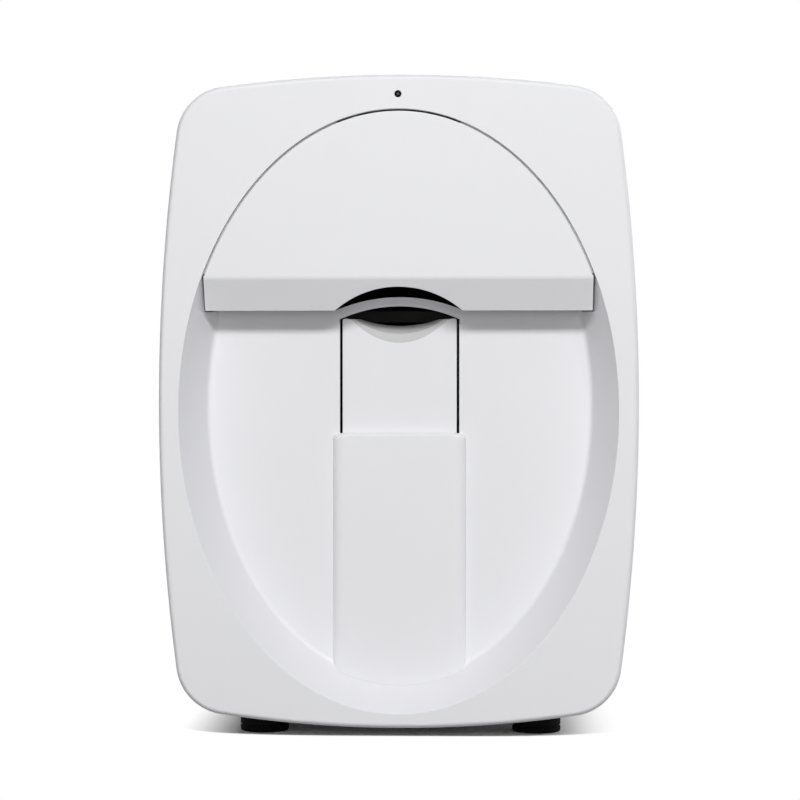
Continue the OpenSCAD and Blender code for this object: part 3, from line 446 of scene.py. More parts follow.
SHELL = plastic("white_shell", grey((233, 233, 236)), 0.5, spread=0.004)
RUBBER = plastic("foot_rubber", grey(9), 0.8, grain=0.0004, bump=0.15, spread=0.08)
RUBBER.node_tree.nodes["Principled BSDF"].inputs["Specular IOR Level"].default_value = 0.1
PAD = plastic("pad_silicone", grey((58, 58, 61)), 0.62, grain=0.0005, bump=0.1, spread=0.05)
LINER = plastic("liner_silicone", grey((204, 204, 204)), 0.6, grain=0.0005, bump=0.08, spread=0.01)
BLACK = plastic("black_plastic", grey((22, 22, 25)), 0.55, bump=0.15, spread=0.06)
DARK = plastic("gantry_grey", grey((46, 49, 54)), 0.5, bump=0.1, spread=0.05)
SCREW = plastic("screw_steel", grey(160), 0.32, metal=1, spread=0.05)
SHEET = plastic("sheet_steel", grey((198, 200, 204)), 0.38, metal=1, spread=0.05, streak=(1, 14, 1))
BRIGHT = plastic("bright_steel", grey((214, 216, 220)), 0.14, metal=1, bump=0.02)
WIRE = plastic("spring_steel", grey((180, 182, 186)), 0.28, metal=1)
MOTOR = plastic("motor_black", grey((38, 39, 42)), 0.4, coat=0.2, bump=0.05, spread=0.05)
BOARD = plastic("board_green", grey((28, 108, 62)), 0.3, coat=0.5, bump=0.03, spread=0.06)
BRASS = plastic("brass", grey((203, 168, 98)), 0.25, metal=1, spread=0.04)
BELT = plastic("belt_rubber", grey(32), 0.75, bump=0.2, spread=0.06)
ALUMINIUM = plastic("pulley_aluminium", grey((214, 216, 219)), 0.26, metal=1, spread=0.03)
LAMP = plastic("lamp_white", grey((238, 238, 226)), 0.2, coat=0.6)
BLUE = plastic("latch_blue", grey((44, 98, 168)), 0.4, bump=0.08)
LENS = plastic("lens_glass", grey((14, 16, 26)), 0.05, coat=1, bump=0.0)
FOAM = plastic("filter_foam", grey(30), 0.95, grain=0.0012, bump=0.6, spread=0.2)
GOLD = plastic("contact_gold", grey((222, 184, 96)), 0.2, metal=1)


# ------------------------------------------------------------------ more shapes
def rod(name, p0, p1, r, n=64):
    """A cylinder between two points."""
    p0, p1 = Vector(p0), Vector(p1)
    turn = (p1 - p0).to_track_quat("Z", "Y")
    circle = [(r * math.cos(2 * math.pi * i / n), r * math.sin(2 * math.pi * i / n), 0) for i in range(n)]
    verts = [turn @ Vector(c) + p for p in (p0, p1) for c in circle]
    faces = [list(range(n - 1, -1, -1)), list(range(n, 2 * n))]
    faces += [[i, (i + 1) % n, n + (i + 1) % n, n + i] for i in range(n)]
    return new_object(name, verts, faces)


def case_solid(name, y0, y1, r0, r1, inset=0.0, deep=1.0):
    """The case's outline from y0 to y1, its edges rounded by r0 and r1; deep stretches the front round."""
    ts = np.linspace(0, math.pi / 2, 8)
    rings = [ring(outline(inset + r0 * (1 - math.sin(t))), y0 + r0 * deep * (1 - math.cos(t)))
             for t in ts]
    rings += [ring(outline(inset + r1 * (1 - math.sin(t))), y1 - r1 * (1 - math.cos(t))) for t in ts[::-1]]
    return skin(name, rings)


def bowl_ring(depth, grow=0.0, y=None):
    """The recess wall's oval at a depth, moved outwards by grow, a number or one for each point."""
    k = max(depth, 0) / RECESS
    a, b = OVAL_A + (FLOOR_A - OVAL_A) * k, OVAL_B + (FLOOR_B - OVAL_B) * k
    z = OVAL_Z + (FLOOR_Z - OVAL_Z) * k
    return ring(oval(a, b, z, grow), FRONT + depth if y is None else y)


def bowl_void(name):
    """The recess as a cutter: a lip at the front, rounder below the crease, and a fillet round the floor."""
    top_lip, more_lip, lip_depth = 0.3, 0.25, 0.9
    fade_start, fade = CREASE + 4, 14
    fillet = 1.6
    z = np.array([p[1] for p in oval(OVAL_A, OVAL_B, OVAL_Z)])
    s = np.clip((fade_start - z) / fade, 0, 1)
    lip = top_lip + more_lip * s * s * (3 - 2 * s)
    rings = [bowl_ring(0, lip, FRONT - OVER)]
    for t in np.linspace(0, 1, 6):
        rings.append(bowl_ring(0, lip * ((1 - t) ** 2), FRONT + 0.0001 + lip_depth * t * t))
    for t in np.linspace(0, 1, 6):
        rings.append(bowl_ring(RECESS - fillet * (1 - t) ** 2, -fillet * t * t))
    return skin(name, rings)


def arch(w, h, z0, drop, n=48):
    """An arch of width w that rises h above z0, with straight sides that reach drop below."""
    r = arch_radius(w, h)
    half = math.asin(w / 2 / r)
    top = [(r * math.sin(a), z0 + h - r + r * math.cos(a)) for a in np.linspace(half, -half, n)]
    return [(-w / 2, z0 - drop), (w / 2, z0 - drop)] + top


# ------------------------------------------------------------------ outside mouldings
NOTCH = VISOR_HALF + SEAM - 0.2
FLOOR_EDGE = VISOR_LOW + 0.6


def front_cover():
    """The moulding of the face and the recess, with the finger's opening and the indicator's hole."""
    cover = case_solid("front_moulding", FRONT, SPLIT, EDGE_R + 0.2, SPLIT_R, 0, 1.6)
    cut(cover, case_solid("cavity", FRONT + WALL, SPLIT + OVER, 0, 0, WALL))
    bowl = skin("bowl", [bowl_ring(1, BOWL_WALL), bowl_ring(RECESS + FLOOR_T, BOWL_WALL)])
    common(bowl, block("below", -WIDTH, WIDTH, FRONT, SPLIT, 0, CREASE + 2))
    fuse(cover, bowl)
    cut(cover, bowl_void("void"))
    cut(cover, block("notch", -NOTCH, NOTCH, FRONT - OVER, FLOOR_Y - 1, VISOR_LOW - 0.3, CREASE + 0.4))
    upper = prism("upper", oval(OVAL_A, OVAL_B, OVAL_Z), FRONT + 0.35, SPLIT + OVER)
    cut(cover, common(upper, block("above", -WIDTH, WIDTH, FRONT - 2, SPLIT + 2, CREASE, TOP)))
    side, floor_back = NOTCH - 0.3, FLOOR_Y + FLOOR_T
    behind = block("behind", -side, side, FLOOR_Y - 2.1, SPLIT + OVER, FLOOR_EDGE, CREASE + 3)
    band = arch(VISOR_ARCH_W, BAND_TOP - FLOOR_EDGE, FLOOR_EDGE, 30)
    cut(behind, prism("band", band, FLOOR_Y - 3, floor_back + OVER))
    cut(cover, behind)
    cut(cover, flared("arch", arch(SLOT_W, ARCH_H, SLOT_TOP, 1.5), FLOOR_Y, SPLIT, 1.1, 6))
    half, slot_low = SLOT_W / 2, PANEL_HIGH[2] - 52
    cut(cover, flared("slot", rounded_rect(-half, half, slot_low, SLOT_TOP, 0.6), FLOOR_Y, SPLIT, 0.25))
    cut(cover, flared("hole", arc((0, LIGHT_Z), 1.45, 0, 2 * math.pi, 32), FRONT, FRONT + 5, 0.2))
    dress(cleaned(cover), SHELL, "case", ["front_cover"])


def panel_opening():
    """The back panel's opening: its half width, low and high edges, and the places of its screws."""
    low, high = in_mm(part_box("back_panel"))
    x, z0, z1 = high[0] + LOOSE, low[2] - LOOSE, high[2] + LOOSE
    inner = x - PANEL_SCREW_IN
    screws = [(sx * inner, z) for sx in (-1, 1) for z in (z0 + PANEL_SCREW_IN, z1 - PANEL_SCREW_IN)]
    return x, z0, z1, screws


def feet_places():
    """The middles of the four feet, in X and Y."""
    return [(x, y) for x in (-FOOT_X, FOOT_X) for y in (FRONT + FOOT_IN, BACK - FOOT_IN)]


def rear_housing():
    """The rear moulding: the panel's seat and bosses, the sockets' pocket, posts for the feet, vents."""
    shell = case_solid("rear_shell", SPLIT, BACK, SPLIT_R, EDGE_R)
    cut(shell, case_solid("cavity", SPLIT - OVER, BACK - WALL, 0, 0, WALL))
    x, z0, z1, screws = panel_opening()
    ledge, seat = 3.5, in_mm(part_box("back_panel"))[0][1]
    opening = rounded_rect(-x + ledge, x - ledge, z0 + ledge, z1 - ledge, 2)
    cut(shell, prism("hole", opening, BACK - WALL - OVER, BACK + OVER))
    boss_r, bore_r, boss_front = 4.5, 1.6, BACK - WALL - 8
    for sx, z in screws:
        fuse(shell, tube_y("boss", sx, z, boss_front, seat, boss_r))
        cut(shell, tube_y("bore", sx, z, boss_front + 1, BACK, bore_r))
    cut(shell, prism("seat", rounded_rect(-x, x, z0, z1, 1.5), seat, BACK + OVER, 0, -0.35))
    socket_z, half, tall, rim = BOTTOM + 34, 56, 11, 2
    pocket_y = BACK - 2
    well = rounded_rect(-half - rim, half + rim, socket_z - tall - rim, socket_z + tall + rim, 2)
    fuse(shell, prism("well", well, pocket_y - 2.5, BACK - 1))
    pocket = rounded_rect(-half, half, socket_z - tall, socket_z + tall, 3)
    cut(shell, prism("pocket", pocket, pocket_y, BACK + OVER))
    for middle, w, h in ((-40, 7, 6), (40, 10, 7)):
        gap = block("gap", middle - w, middle + w, pocket_y - 4, BACK + OVER, socket_z - h, socket_z + h)
        cut(shell, gap)
    for fx, fy in feet_places():
        fuse(shell, tube_z("post", fx, fy, BOTTOM + 2, BOTTOM + 13, 5))
        cut(shell, tube_z("bore", fx, fy, 0, BOTTOM + 14, 1.8))
    vents, pitch = 13, 7
    for i in range(vents):
        slot = prism("vent", rounded_rect(-1.5, 1.5, BACK - 62, BACK - 32, 1.4), 0, 10)
        for v in slot.data.vertices:
            across_x, up, along_y = v.co / MM
            v.co = Vector((across_x + (i - vents // 2) * pitch, along_y, up)) * MM
        fix_normals(slot)
        cut(shell, slot)
    dress(cleaned(shell), SHELL, "case", ["rear_housing"])


def back_panel():
    """The rear panel with two rows of vents and four countersunk holes."""
    low, high = in_mm(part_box("back_panel"))
    edge = rounded_rect(low[0], high[0], low[2], high[2], 1.2)
    plate = prism("rear_panel", edge, low[1], high[1], 0.1, 0.35)
    _, z0, z1, screws = panel_opening()
    pitch, half, tall = 9, 1.5, 34
    for z in (z0 + 28, z1 - 62):
        for i in range(-5, 6):
            slot = rounded_rect(i * pitch - half, i * pitch + half, z, z + tall, 1.45)
            cut(plate, prism("slot", slot, low[1] - OVER, high[1] + OVER))
    for x, z in screws:
        cut(plate, tube_y("sink", x, z, high[1] - 0.9, high[1] + OVER, 3.2))
        cut(plate, tube_y("bore", x, z, low[1] - OVER, high[1] + OVER, 1.7))
    dress(bevelled(cleaned(plate), 0.15, 1), SHELL, "case", ["back_panel"])


def cartridge_door():
    """The oval front door with its slanted visor strip and the arch cut into it."""
    a, b = OVAL_A - SEAM, OVAL_B - SEAM
    half = VISOR_HALF - 0.2
    edge = ((0.45, 0), (0.13, 0.13), (0.0, 0.45), (0.0, DOOR_T - 1), (1.0, DOOR_T))
    shell = skin("door_front", [ring(oval(a - e, b - e, OVAL_Z), FRONT + depth) for e, depth in edge])
    y0, y1 = FRONT - OVER, FRONT + DOOR_T + OVER
    common(shell, block("above", -WIDTH, WIDTH, y0, y1, CREASE + SEAM, TOP))
    slope = math.atan2(VISOR_LOW - CREASE, VISOR_BACK)
    bend, bend_size = [], 1.0
    for t in np.linspace(0, 1, 8):
        up, down = (1 - t) ** 2 * bend_size, t * t * bend_size
        bend.append((FRONT + down * math.cos(slope), CREASE + up + down * math.sin(slope)))
    tip_y, tip_z, r = FRONT + VISOR_BACK, VISOR_LOW, 0.35
    back_y = tip_y + VISOR_LIP
    tip = [(tip_y - r * math.cos(slope), tip_z - r * math.sin(slope)), (tip_y - 0.05, tip_z + 0.08),
           (tip_y + r, tip_z), (back_y, tip_z), (back_y, tip_z + 1.5)]
    profile = bend + tip + [(FRONT + DOOR_T, CREASE - 1.2), (FRONT + DOOR_T, CREASE + 1)]
    visor = across("visor", profile, -half, half)
    cheek_t = 2
    cheek = [(FRONT + 0.4, CREASE), (tip_y, tip_z + 0.3), (back_y, tip_z), (back_y, CREASE - 1),
             (FRONT + 2, CREASE)]
    for x0, x1 in ((-half, cheek_t - half), (half - cheek_t, half)):
        fuse(visor, across("cheek", cheek, x0, x1))
    fuse(shell, visor)
    gap = arch(VISOR_ARCH_W, VISOR_ARCH_H, VISOR_LOW, 2)
    cut(shell, prism("arch", gap, FRONT - OVER, back_y + OVER))
    cleaned(shell)
    dress(shell, SHELL, "door", ["cartridge_door"])


def door_lip():
    """The rebate behind the door's edge, open where the hinge arms pass."""
    y0, y1 = FRONT + DOOR_T + 0.4, FRONT + DOOR_T + 1.9
    outer, inner = 0.5, -2.2
    lip = prism("rebate", oval(OVAL_A + outer, OVAL_B + outer, OVAL_Z), y0, y1)
    cut(lip, prism("open", oval(OVAL_A + inner, OVAL_B + inner, OVAL_Z), y0 - OVER, y1 + OVER))
    common(lip, block("above", -WIDTH, WIDTH, y0 - OVER, y1 + OVER, CREASE + 2, TOP))
    low, high = in_mm(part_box("door_hinge_brackets"))
    cut(lip, block("way", low[0] - 1, high[0] + 1, y0 - OVER, y1 + OVER, low[2] - 45, TOP))
    dress(cleaned(lip), SHELL, "case")


def cover_panel():
    """The raised panel below the lift, which follows the recess wall at its lower end."""
    rise, slope, side_run, top_run = 3.4, 3.3, 4.8, 1.3
    y, low = FLOOR_Y - rise, BOTTOM - 10
    half, top, r = PANEL_HIGH[0], PANEL_HIGH[2], 2.4
    rings = []
    for t in np.linspace(0, math.pi / 2, 10):
        side, up = side_run * (1 - math.sin(t)), top_run * (1 - math.sin(t))
        shape = rounded_rect(side - half, half - side, low, top - up, r, 8)
        rings.append(ring(shape, y + slope * (1 - math.cos(t) ** 1.2)))
    rings.append(ring(rounded_rect(-half, half, low, top, r, 8), FLOOR_Y))
    panel = skin("raised_panel", rings)
    fit = -0.03
    common(panel, skin("fit", [bowl_ring(0, fit, FRONT - OVER), bowl_ring(0, fit), bowl_ring(RECESS, fit)]))
    inside = rounded_rect(-SLOT_W / 2, SLOT_W / 2, BOTTOM + 38, top - 2.2, 1)
    cut(panel, prism("hollow", inside, y + 1.8, FLOOR_Y + OVER))
    dress(cleaned(panel), SHELL, "case", ["lift_cover_panel"])


def lift_solid():
    """The lift's plate, its rest and the two sleeves on the guide rods, before the seat is cut."""
    y, half, low, back = LIFT_LOW[1], LIFT_HIGH[0], LIFT_LOW[2], LIFT_HIGH[1]
    plate_t, rest_h, clear = 3, 16, 0.02
    lift = prism("lift_plate", rounded_rect(-half, half, low, LIFT_TOP, 1, 8), y, y + plate_t, 0.35, 0.1)
    rest = rounded_rect(clear - half, half - clear, LIFT_TOP - rest_h, LIFT_TOP - 0.005, 1, 8)
    fuse(lift, prism("rest", rest, y + 1, back, 0, 0.6))
    rod_y, sleeve_low = FLOOR_Y + 26, LIFT_TOP - 62
    for x in (-LIFT_ROD_X, LIFT_ROD_X):
        fuse(lift, tube_z("sleeve", x, rod_y, sleeve_low, LIFT_TOP - 15, 6))
        cut(lift, tube_z("bore", x, rod_y, sleeve_low - OVER, LIFT_TOP - 16.5, 4.2))
    return lift


def trough(name, y0, sink):
    """The round trough along the finger, lowered by sink."""
    r = arch_radius(TROUGH_W, TROUGH_H)
    z = LIFT_TOP - TROUGH_H - sink + r
    return rod(name, (0, y0, z), (0, LIFT_HIGH[1] + OVER, z), r, 200)


def slanted(name, w, h, tilt, sink):
    """A cutter that slants up from the lift's front face."""
    tilt = math.radians(tilt)
    r = arch_radius(w, h * math.cos(tilt))
    middle = Vector((0, LIFT_LOW[1], LIFT_TOP - h + r / math.cos(tilt)))
    reach = Vector((0, math.cos(tilt), math.sin(tilt))) * 3 * w
    return rod(name, middle - reach, middle + reach, r + sink, 320)


def seat_cutter(sink, low):
    """The steep scoop and the seat behind it, sunk by sink, and the trough, lowered by low."""
    seat = slanted("seat", 40, 7.6, 25, sink)
    fuse(seat, slanted("scoop", 41, 10, 60, sink), trough("trough", LIFT_LOW[1] - OVER, low))
    return seat


def finger_lift():
    """The lift with its seat, scoop and the trough for the pad."""
    lift = lift_solid()
    cut(lift, seat_cutter(0.15, 0.5), trough("well", LIFT_LOW[1] + LINER_DEPTH, 1.2))
    dress(bevelled(cleaned(lift), 0.2, 2, 38), SHELL, "lift", ["finger_lift"])


def seat_liner():
    """The pale grey liner of the scoop and the seat, up to the soft pad."""
    y = LIFT_LOW[1]
    liner = lift_solid()
    common(liner, block("front", -40, 40, y - OVER, y + LINER_DEPTH - 0.05, LIFT_TOP - 14, LIFT_TOP - 0.25))
    common(liner, seat_cutter(0.13, 0.48))
    cut(liner, seat_cutter(-0.35, -1.2))
    dress(bevelled(cleaned(liner), 0.12, 2, 25), LINER, "lift")


def finger_pad():
    """A soft pad in the lift's trough, with fine ribs across it."""
    front, back = LIFT_LOW[1] + LINER_DEPTH, in_mm(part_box("finger_pad"))[1][1]
    r = arch_radius(TROUGH_W, TROUGH_H)
    z, sink = LIFT_TOP - TROUGH_H + r, 1.2
    pad = rod("soft_pad", (0, front, z - sink), (0, back, z - sink), r - 0.02, 200)
    common(pad, block("cap", -25, 25, LIFT_LOW[1], back + OVER, LIFT_TOP - 5.3, LIFT_TOP - sink))
    cut(pad, trough("hollow", LIFT_LOW[1], -1.1))
    ribs, pitch, groove_w, groove_up = 8, 3.6, 1.1, 1.25
    for i in range(ribs):
        y = front + 8 + i * pitch
        groove = rod("groove", (0, y, z + groove_up), (0, y + groove_w, z + groove_up), r + 0.35, 160)
        cut(pad, groove)
    dress(bevelled(cleaned(pad), 0.12, 1, 40), PAD, "lift", ["finger_pad"])


def indicator():
    """The small pale lens in the middle of the dark indicator."""
    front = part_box("status_light")[0][1] / MM
    lens = rod("indicator_lens", (0, front - 0.04, LIGHT_Z), (0, front + 0.4, LIGHT_Z), 0.5, 32)
    dress(bevelled(lens, 0.06, 2), PAD, "case")


def turned(name, profile, origin, n=96):
    """A closed ring profile of radius and height, turned about a vertical axis."""
    m = len(profile)
    x, y, base = origin
    verts, faces = [], []
    for k in range(n):
        a = 2 * math.pi * k / n
        verts += [(x + r * math.cos(a), y + r * math.sin(a), base + z) for r, z in profile]
    for k in range(n):
        for i in range(m):
            j, q = (i + 1) % m, (k + 1) % n
            faces.append([k * m + i, q * m + i, q * m + j, k * m + j])
    obj = new_object(name, verts, faces)
    fix_normals(obj)
    return obj


def rubber_feet():
    """Four round feet, grooved and with rounded edges, cut to the bowed bottom."""
    bore, screw_well, groove_r, top = 1.8, 3.6, FOOT_R - 0.4, 9.2
    profile = [(screw_well, 3), (screw_well, 0.7), (4.2, 0.0), (9.4, 0.0), (10.0, 0.25), (10.25, 0.8),
               (FOOT_R, 2.2), (groove_r, 2.5), (groove_r, 2.9), (FOOT_R, 3.2), (FOOT_R, top),
               (bore, top), (bore, 3)]
    feet = []
    for x, y in feet_places():
        foot = turned("foot", profile, (x, y, 0))
        cut(foot, case_solid("case", FRONT, BACK, 0, 0))
        feet.append(foot)
    dress(cleaned(joined("round_feet", feet)), RUBBER, "case", ["rubber_feet"])


# ------------------------------------------------------------------ springs, screw and belt
def wire(name, path, r, n=10):
    """A round wire along a list of points."""
    path = [Vector(p) for p in path]
    turns = [2 * math.pi * k / n for k in range(n)]
    verts, faces = [], []
    side = None
    for i, p in enumerate(path):
        t = (path[min(i + 1, len(path) - 1)] - path[max(i - 1, 0)]).normalized()
        if side is None:
            side = t.orthogonal().normalized()
        side = (side - t * side.dot(t)).normalized()
        up = t.cross(side)
        verts += [p + r * (math.cos(a) * side + math.sin(a) * up) for a in turns]
    for i in range(len(path) - 1):
        for k in range(n):
            q = (k + 1) % n
            faces.append([i * n + k, i * n + q, (i + 1) * n + q, (i + 1) * n + k])
    faces += [list(range(n - 1, -1, -1)), [(len(path) - 1) * n + k for k in range(n)]]
    obj = new_object(name, verts, faces)
    fix_normals(obj)
    return obj


def lift_springs():
    """Two compression springs with closed ends."""
    low, high = in_mm(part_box("lift_return_springs"))
    z0, z1 = low[2], high[2]
    r, turns, steps, travel = 0.6, 15, 28, 20
    coil = (high[0] - LIFT_ROD_X) - r
    rod_y = (low[1] + high[1]) / 2
    length = z1 - z0
    springs = []
    for x in (-LIFT_ROD_X, LIFT_ROD_X):
        path = []
        for i in range(turns * steps + 1):
            u = i / steps
            up = np.interp(u, [0, 1, turns - 1, turns], [0, 1.4 * r, length - 3.4 * r, length - 2 * r])
            a = 2 * math.pi * u
            path.append((x + coil * math.cos(a), rod_y + coil * math.sin(a), z0 + r + up))
        springs.append(wire("coil", path, r))
    spring = joined("coil_springs", springs)
    dress(spring, WIRE, "case", ["lift_return_springs"])
    spring.modifiers.clear()
    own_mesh(spring)


def lead_screw():
    """A screw with four starts: 8 mm of travel a turn, and plain ends."""
    low, high = in_mm(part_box("y_lead_screw"))
    r, y0, y1, z = high[0], low[1], high[1], (low[2] + high[2]) / 2
    starts, pitch, thread, chamfer = 4, 2, 0.32, 0.3
    n, steps = 48, int((y1 - y0) * 5)
    rings = []
    for i in range(steps + 1):
        y = y0 + (y1 - y0) * i / steps
        edge = min(1, max(0, (y - y0 - 0.6) / 0.8)) * min(1, max(0, (y1 - 4 - y) / 0.8))
        end = chamfer if i in (0, steps) else 0
        pts = []
        for k in range(n):
            a = 2 * math.pi * k / n
            wave = 0.5 + 0.5 * math.cos(starts * a - 2 * math.pi * y / pitch)
            radius = r - (thread * min(1, max(0, (wave - 0.25) * 2)) * edge + end)
            pts.append((radius * math.cos(a), z + radius * math.sin(a)))
        rings.append(ring(pts, y))
    dress(skin("threaded_screw", rings), BRIGHT, "lead_screw", ["y_lead_screw"])


def belt():
    """The belt's loop, with teeth on its inner side away from the pulleys."""
    low, high = in_mm(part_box("x_belt"))
    y0, y1, z = low[1], high[1], (low[2] + high[2]) / 2
    belt_t, tooth, pitch, turn_steps, pitch_steps = 1, 0.35, 1.0, 48, 4
    r_out = (high[2] - low[2]) / 2
    r_in = r_out - belt_t
    cx = high[0] - r_out
    n = int(2 * cx / pitch) * pitch_steps
    pts_out, pts_in = [], []
    for side in (1, -1):
        for i in range(turn_steps):
            a = -side * math.pi / 2 + math.pi * i / turn_steps
            pts_out.append((side * cx + r_out * math.cos(a), z + r_out * math.sin(a)))
            pts_in.append((side * cx + r_in * math.cos(a), z + r_in * math.sin(a)))
        for i in range(n):
            x = side * (cx - 2 * cx * i / n)
            inner = r_in + (tooth if i % pitch_steps in (1, 2) else 0)
            pts_out.append((x, z + side * r_out))
            pts_in.append((x, z + side * inner))
    m = len(pts_out)
    verts = [(x, y, zz) for y in (y0, y1) for pts in (pts_out, pts_in) for x, zz in pts]
    faces = []
    for i in range(m):
        j = (i + 1) % m
        faces += [[i, j, m + j, m + i], [2 * m + i, 3 * m + i, 3 * m + j, 2 * m + j],
                  [i, 2 * m + i, 2 * m + j, j], [m + i, m + j, 3 * m + j, 3 * m + i]]
    obj = new_object("toothed_belt", verts, faces)
    fix_normals(obj)
    dress(obj, BELT, "gantry", ["x_belt"])


# ------------------------------------------------------------------ CAD pieces that show as they are
def finish(node, material, bevel=0.25, segments=2):
    """Gives a carried-over CAD piece its material and rounds its edges."""
    obj = next(o for o in bpy.data.objects if o.get("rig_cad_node") == node)
    obj.data.materials.clear()
    obj.data.materials.append(material)
    if bevel:
        mod = obj.modifiers.new("edges", "BEVEL")
        mod.width = bevel * MM
        mod.segments = segments
        mod.limit_method = "ANGLE"
        mod.angle_limit = math.radians(40)
        mod.use_clamp_overlap = True
        mod.harden_normals = True


front_cover()
rear_housing()
back_panel()
cartridge_door()
door_lip()
cover_panel()
finger_lift()
seat_liner()
finger_pad()
indicator()
rubber_feet()
lift_springs()
lead_screw()
belt()

for node, material, bevel in (
        ("dust_filter", FOAM, 0.3), ("foot_screws", SCREW, 0.15), ("panel_screws", SCREW, 0.12),
        ("base_plate", SHEET, 0.2),
        ("left_side_plate", SHEET, 0.2), ("right_side_plate", SHEET, 0.2), ("rear_crossbar", SHEET, 0.2),
        ("front_rod_brackets", BLACK, 0.4), ("y_guide_rods", BRIGHT, 0.3), ("y_motor", MOTOR, 0.4),
        ("chamber_walls", BLACK, 0.3), ("lift_guide_base", BLACK, 0.5),
        ("lift_guide_rods", BRIGHT, 0.4),
        ("status_light", RUBBER, 0.1), ("status_light_board", BOARD, 0.1),
        ("power_switch_frame", BLACK, 0.2),
        ("power_inlet", BLACK, 0.2), ("main_board", BOARD, 0.1), ("board_standoffs", BRASS, 0.15),
        ("door_hinge_brackets", SHEET, 0.15), ("door_hinge_pins", BRIGHT, 0.15),
        ("door_hinge_arms", SHELL, 0.3),
        ("lift_bushings", BRASS, 0.2), ("gantry_frame", DARK, 0.5), ("gantry_bushings", BRASS, 0.2),
        ("x_guide_rods", BRIGHT, 0.2), ("x_motor", MOTOR, 0.4), ("lead_nut", BRASS, 0.25),
        ("idler_pin", BRIGHT, 0.08),
        ("cartridge_carriage", BLACK, 0.3), ("carriage_bushings", BRASS, 0.15), ("ink_cartridge", DARK, 0.6),
        ("nozzle_plate", GOLD, 0.1), ("camera_module", BOARD, 0.1), ("camera_lens", LENS, 0.2),
        ("nail_light", LAMP, 0.15), ("latch_pin", BRIGHT, 0.15), ("cartridge_latch", BLUE, 0.3),
        ("drive_pulley", ALUMINIUM, 0.15), ("idler_pulley", ALUMINIUM, 0.15),
        ("screw_coupler", ALUMINIUM, 0.3),
        ("power_rocker", BLACK, 0.3)):
    finish(node, material, bevel)


# ------------------------------------------------------------------ stage
SHADOW_X, SHADOW_Y = 0.103, 0.0935
SHADOW_FADE = 0.94, 1.06
SHADOW_SIDE = 0.067, 0.094


def greater(nodes, links, a, b):
    """The greater of two values."""
    most = nodes.new("ShaderNodeMath")
    most.operation = "MAXIMUM"
    links.new(a, most.inputs[0])
    links.new(b, most.inputs[1])
    return most.outputs["Value"]


def either(nodes, links, factor, a, b):
    """Shader a where the factor is 0, and b where it is 1."""
    pick = nodes.new("ShaderNodeMixShader")
    links.new(factor, pick.inputs["Fac"])
    links.new(a, pick.inputs[1])
    links.new(b, pick.inputs[2])
    return pick.outputs["Shader"]


def seen_rays(nodes, links):
    """1 for rays from the camera, reflections and glass, 0 for the light that falls on things."""
    rays = nodes.new("ShaderNodeLightPath")
    value = rays.outputs["Is Camera Ray"]
    for kind in ("Is Glossy Ray", "Is Transmission Ray"):
        value = greater(nodes, links, value, rays.outputs[kind])
    return value


def floor_white():
    """White where it is seen, but for the object's own shadow near it, and a grey table to the light.

    The shadow shows inside a rounded square round the feet, and fades out towards its left and right.
    """
    mat = bpy.data.materials.new("floor_white")
    mat.use_nodes = True
    nodes, links = mat.node_tree.nodes, mat.node_tree.links
    table = nodes["Principled BSDF"]
    table.inputs["Base Color"].default_value = (0.3, 0.3, 0.3, 1)
    table.inputs["Roughness"].default_value = 0.9
    shaded = nodes.new("ShaderNodeBsdfDiffuse")
    shaded.inputs["Color"].default_value = (1.4, 1.4, 1.4, 1)
    plain = nodes.new("ShaderNodeEmission")
    plain.inputs["Color"].default_value = (1, 1, 1, 1)
    place = nodes.new("ShaderNodeNewGeometry")

    def vector(operation, a, b):
        node = nodes.new("ShaderNodeVectorMath")
        node.operation = operation
        links.new(a, node.inputs[0])
        if isinstance(b, tuple):
            node.inputs[1].default_value = b
        else:
            links.new(b, node.inputs[1])
        return node.outputs["Value" if operation == "DOT_PRODUCT" else "Vector"]

    def fade(value, low, high):
        node = nodes.new("ShaderNodeMapRange")
        node.inputs["From Min"].default_value = low
        node.inputs["From Max"].default_value = high
        links.new(value, node.inputs["Value"])
        return node.outputs["Result"]

    scaled = vector("MULTIPLY", place.outputs["Position"], (1 / SHADOW_X, 1 / SHADOW_Y, 0))
    squared = vector("MULTIPLY", scaled, scaled)
    edge = fade(vector("DOT_PRODUCT", squared, squared), *SHADOW_FADE)
    side = fade(vector("DOT_PRODUCT", squared, (1, 0, 0)), *[(x / SHADOW_X) ** 2 for x in SHADOW_SIDE])
    white = greater(nodes, links, edge, side)
    seen = either(nodes, links, white, shaded.outputs["BSDF"], plain.outputs["Emission"])
    surface = either(nodes, links, seen_rays(nodes, links), table.outputs["BSDF"], seen)
    links.new(surface, nodes["Material Output"].inputs["Surface"])
    return mat


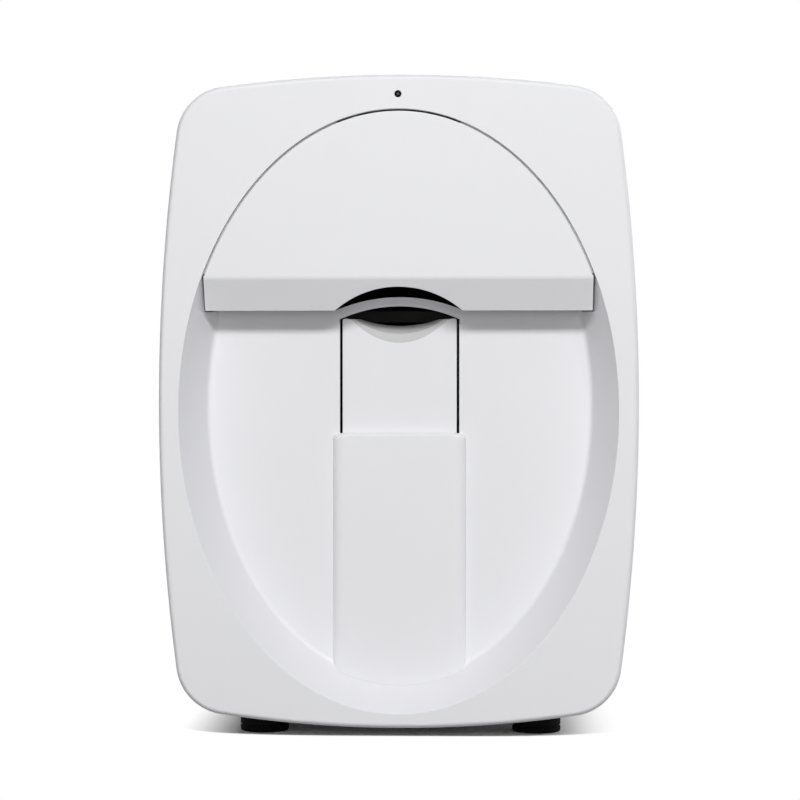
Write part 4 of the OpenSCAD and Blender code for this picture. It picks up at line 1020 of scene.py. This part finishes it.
floor_mesh = bpy.data.meshes.new("floor")
HALF_FLOOR = 4
corners = [(-HALF_FLOOR, -HALF_FLOOR, 0), (HALF_FLOOR, -HALF_FLOOR, 0),
           (HALF_FLOOR, HALF_FLOOR, 0), (-HALF_FLOOR, HALF_FLOOR, 0)]
floor_mesh.from_pydata(corners, [], [(0, 1, 2, 3)])
floor = bpy.data.objects.new("floor", floor_mesh)
bpy.context.scene.collection.objects.link(floor)
floor.data.materials.append(floor_white())

world = bpy.data.worlds.new("studio")
bpy.context.scene.world = world
world.use_nodes = True
world_nodes, world_links = world.node_tree.nodes, world.node_tree.links
light = world_nodes["Background"]
light.inputs["Color"].default_value = (0.97, 0.98, 1, 1)
light.inputs["Strength"].default_value = 0.14
shown = world_nodes.new("ShaderNodeBackground")
shown.inputs["Color"].default_value = (1, 1, 1, 1)
shown.inputs["Strength"].default_value = 1
seen = seen_rays(world_nodes, world_links)
sky = either(world_nodes, world_links, seen, light.outputs["Background"], shown.outputs["Background"])
world_links.new(sky, world_nodes["World Output"].inputs["Surface"])


def lamp(name, place, aim, size, watts):
    """An area lamp of a width and height in metres, turned towards aim."""
    light = bpy.data.lights.new(name, "AREA")
    light.shape = "RECTANGLE"
    light.size, light.size_y = size
    light.energy = watts
    obj = bpy.data.objects.new(name, light)
    bpy.context.scene.collection.objects.link(obj)
    obj.location = place
    obj.rotation_euler = (Vector(aim) - Vector(place)).to_track_quat("-Z", "Y").to_euler()


lamp("key", (0.13, -1.415, 1.06), (0, -0.1, 0.16), (1.5, 0.25), 19.8)
lamp("fill", (0.05, -1.5, 0.16), (0, -0.1, 0.15), (0.9, 0.7), 3.4)
lamp("rear", (0.25, 1.4, 0.8), (0, 0.1, 0.14), (1.4, 0.8), 11)
lamp("right_rim", (1.0, 0.35, 0.5), (0, -0.1, 0.14), (0.6, 0.6), 3)

camera = bpy.data.objects.new("camera", bpy.data.cameras.new("camera"))
bpy.context.scene.collection.objects.link(camera)
camera.location = (0.035, -1.105, 0.141)
aim = Vector((0.00087, -0.105, 0.141)) - camera.location
camera.rotation_euler = aim.to_track_quat("-Z", "Y").to_euler()
camera.data.lens = 108.5
camera.data.sensor_width = 36
bpy.context.scene.camera = camera
bpy.context.scene.view_settings.view_transform = "Standard"
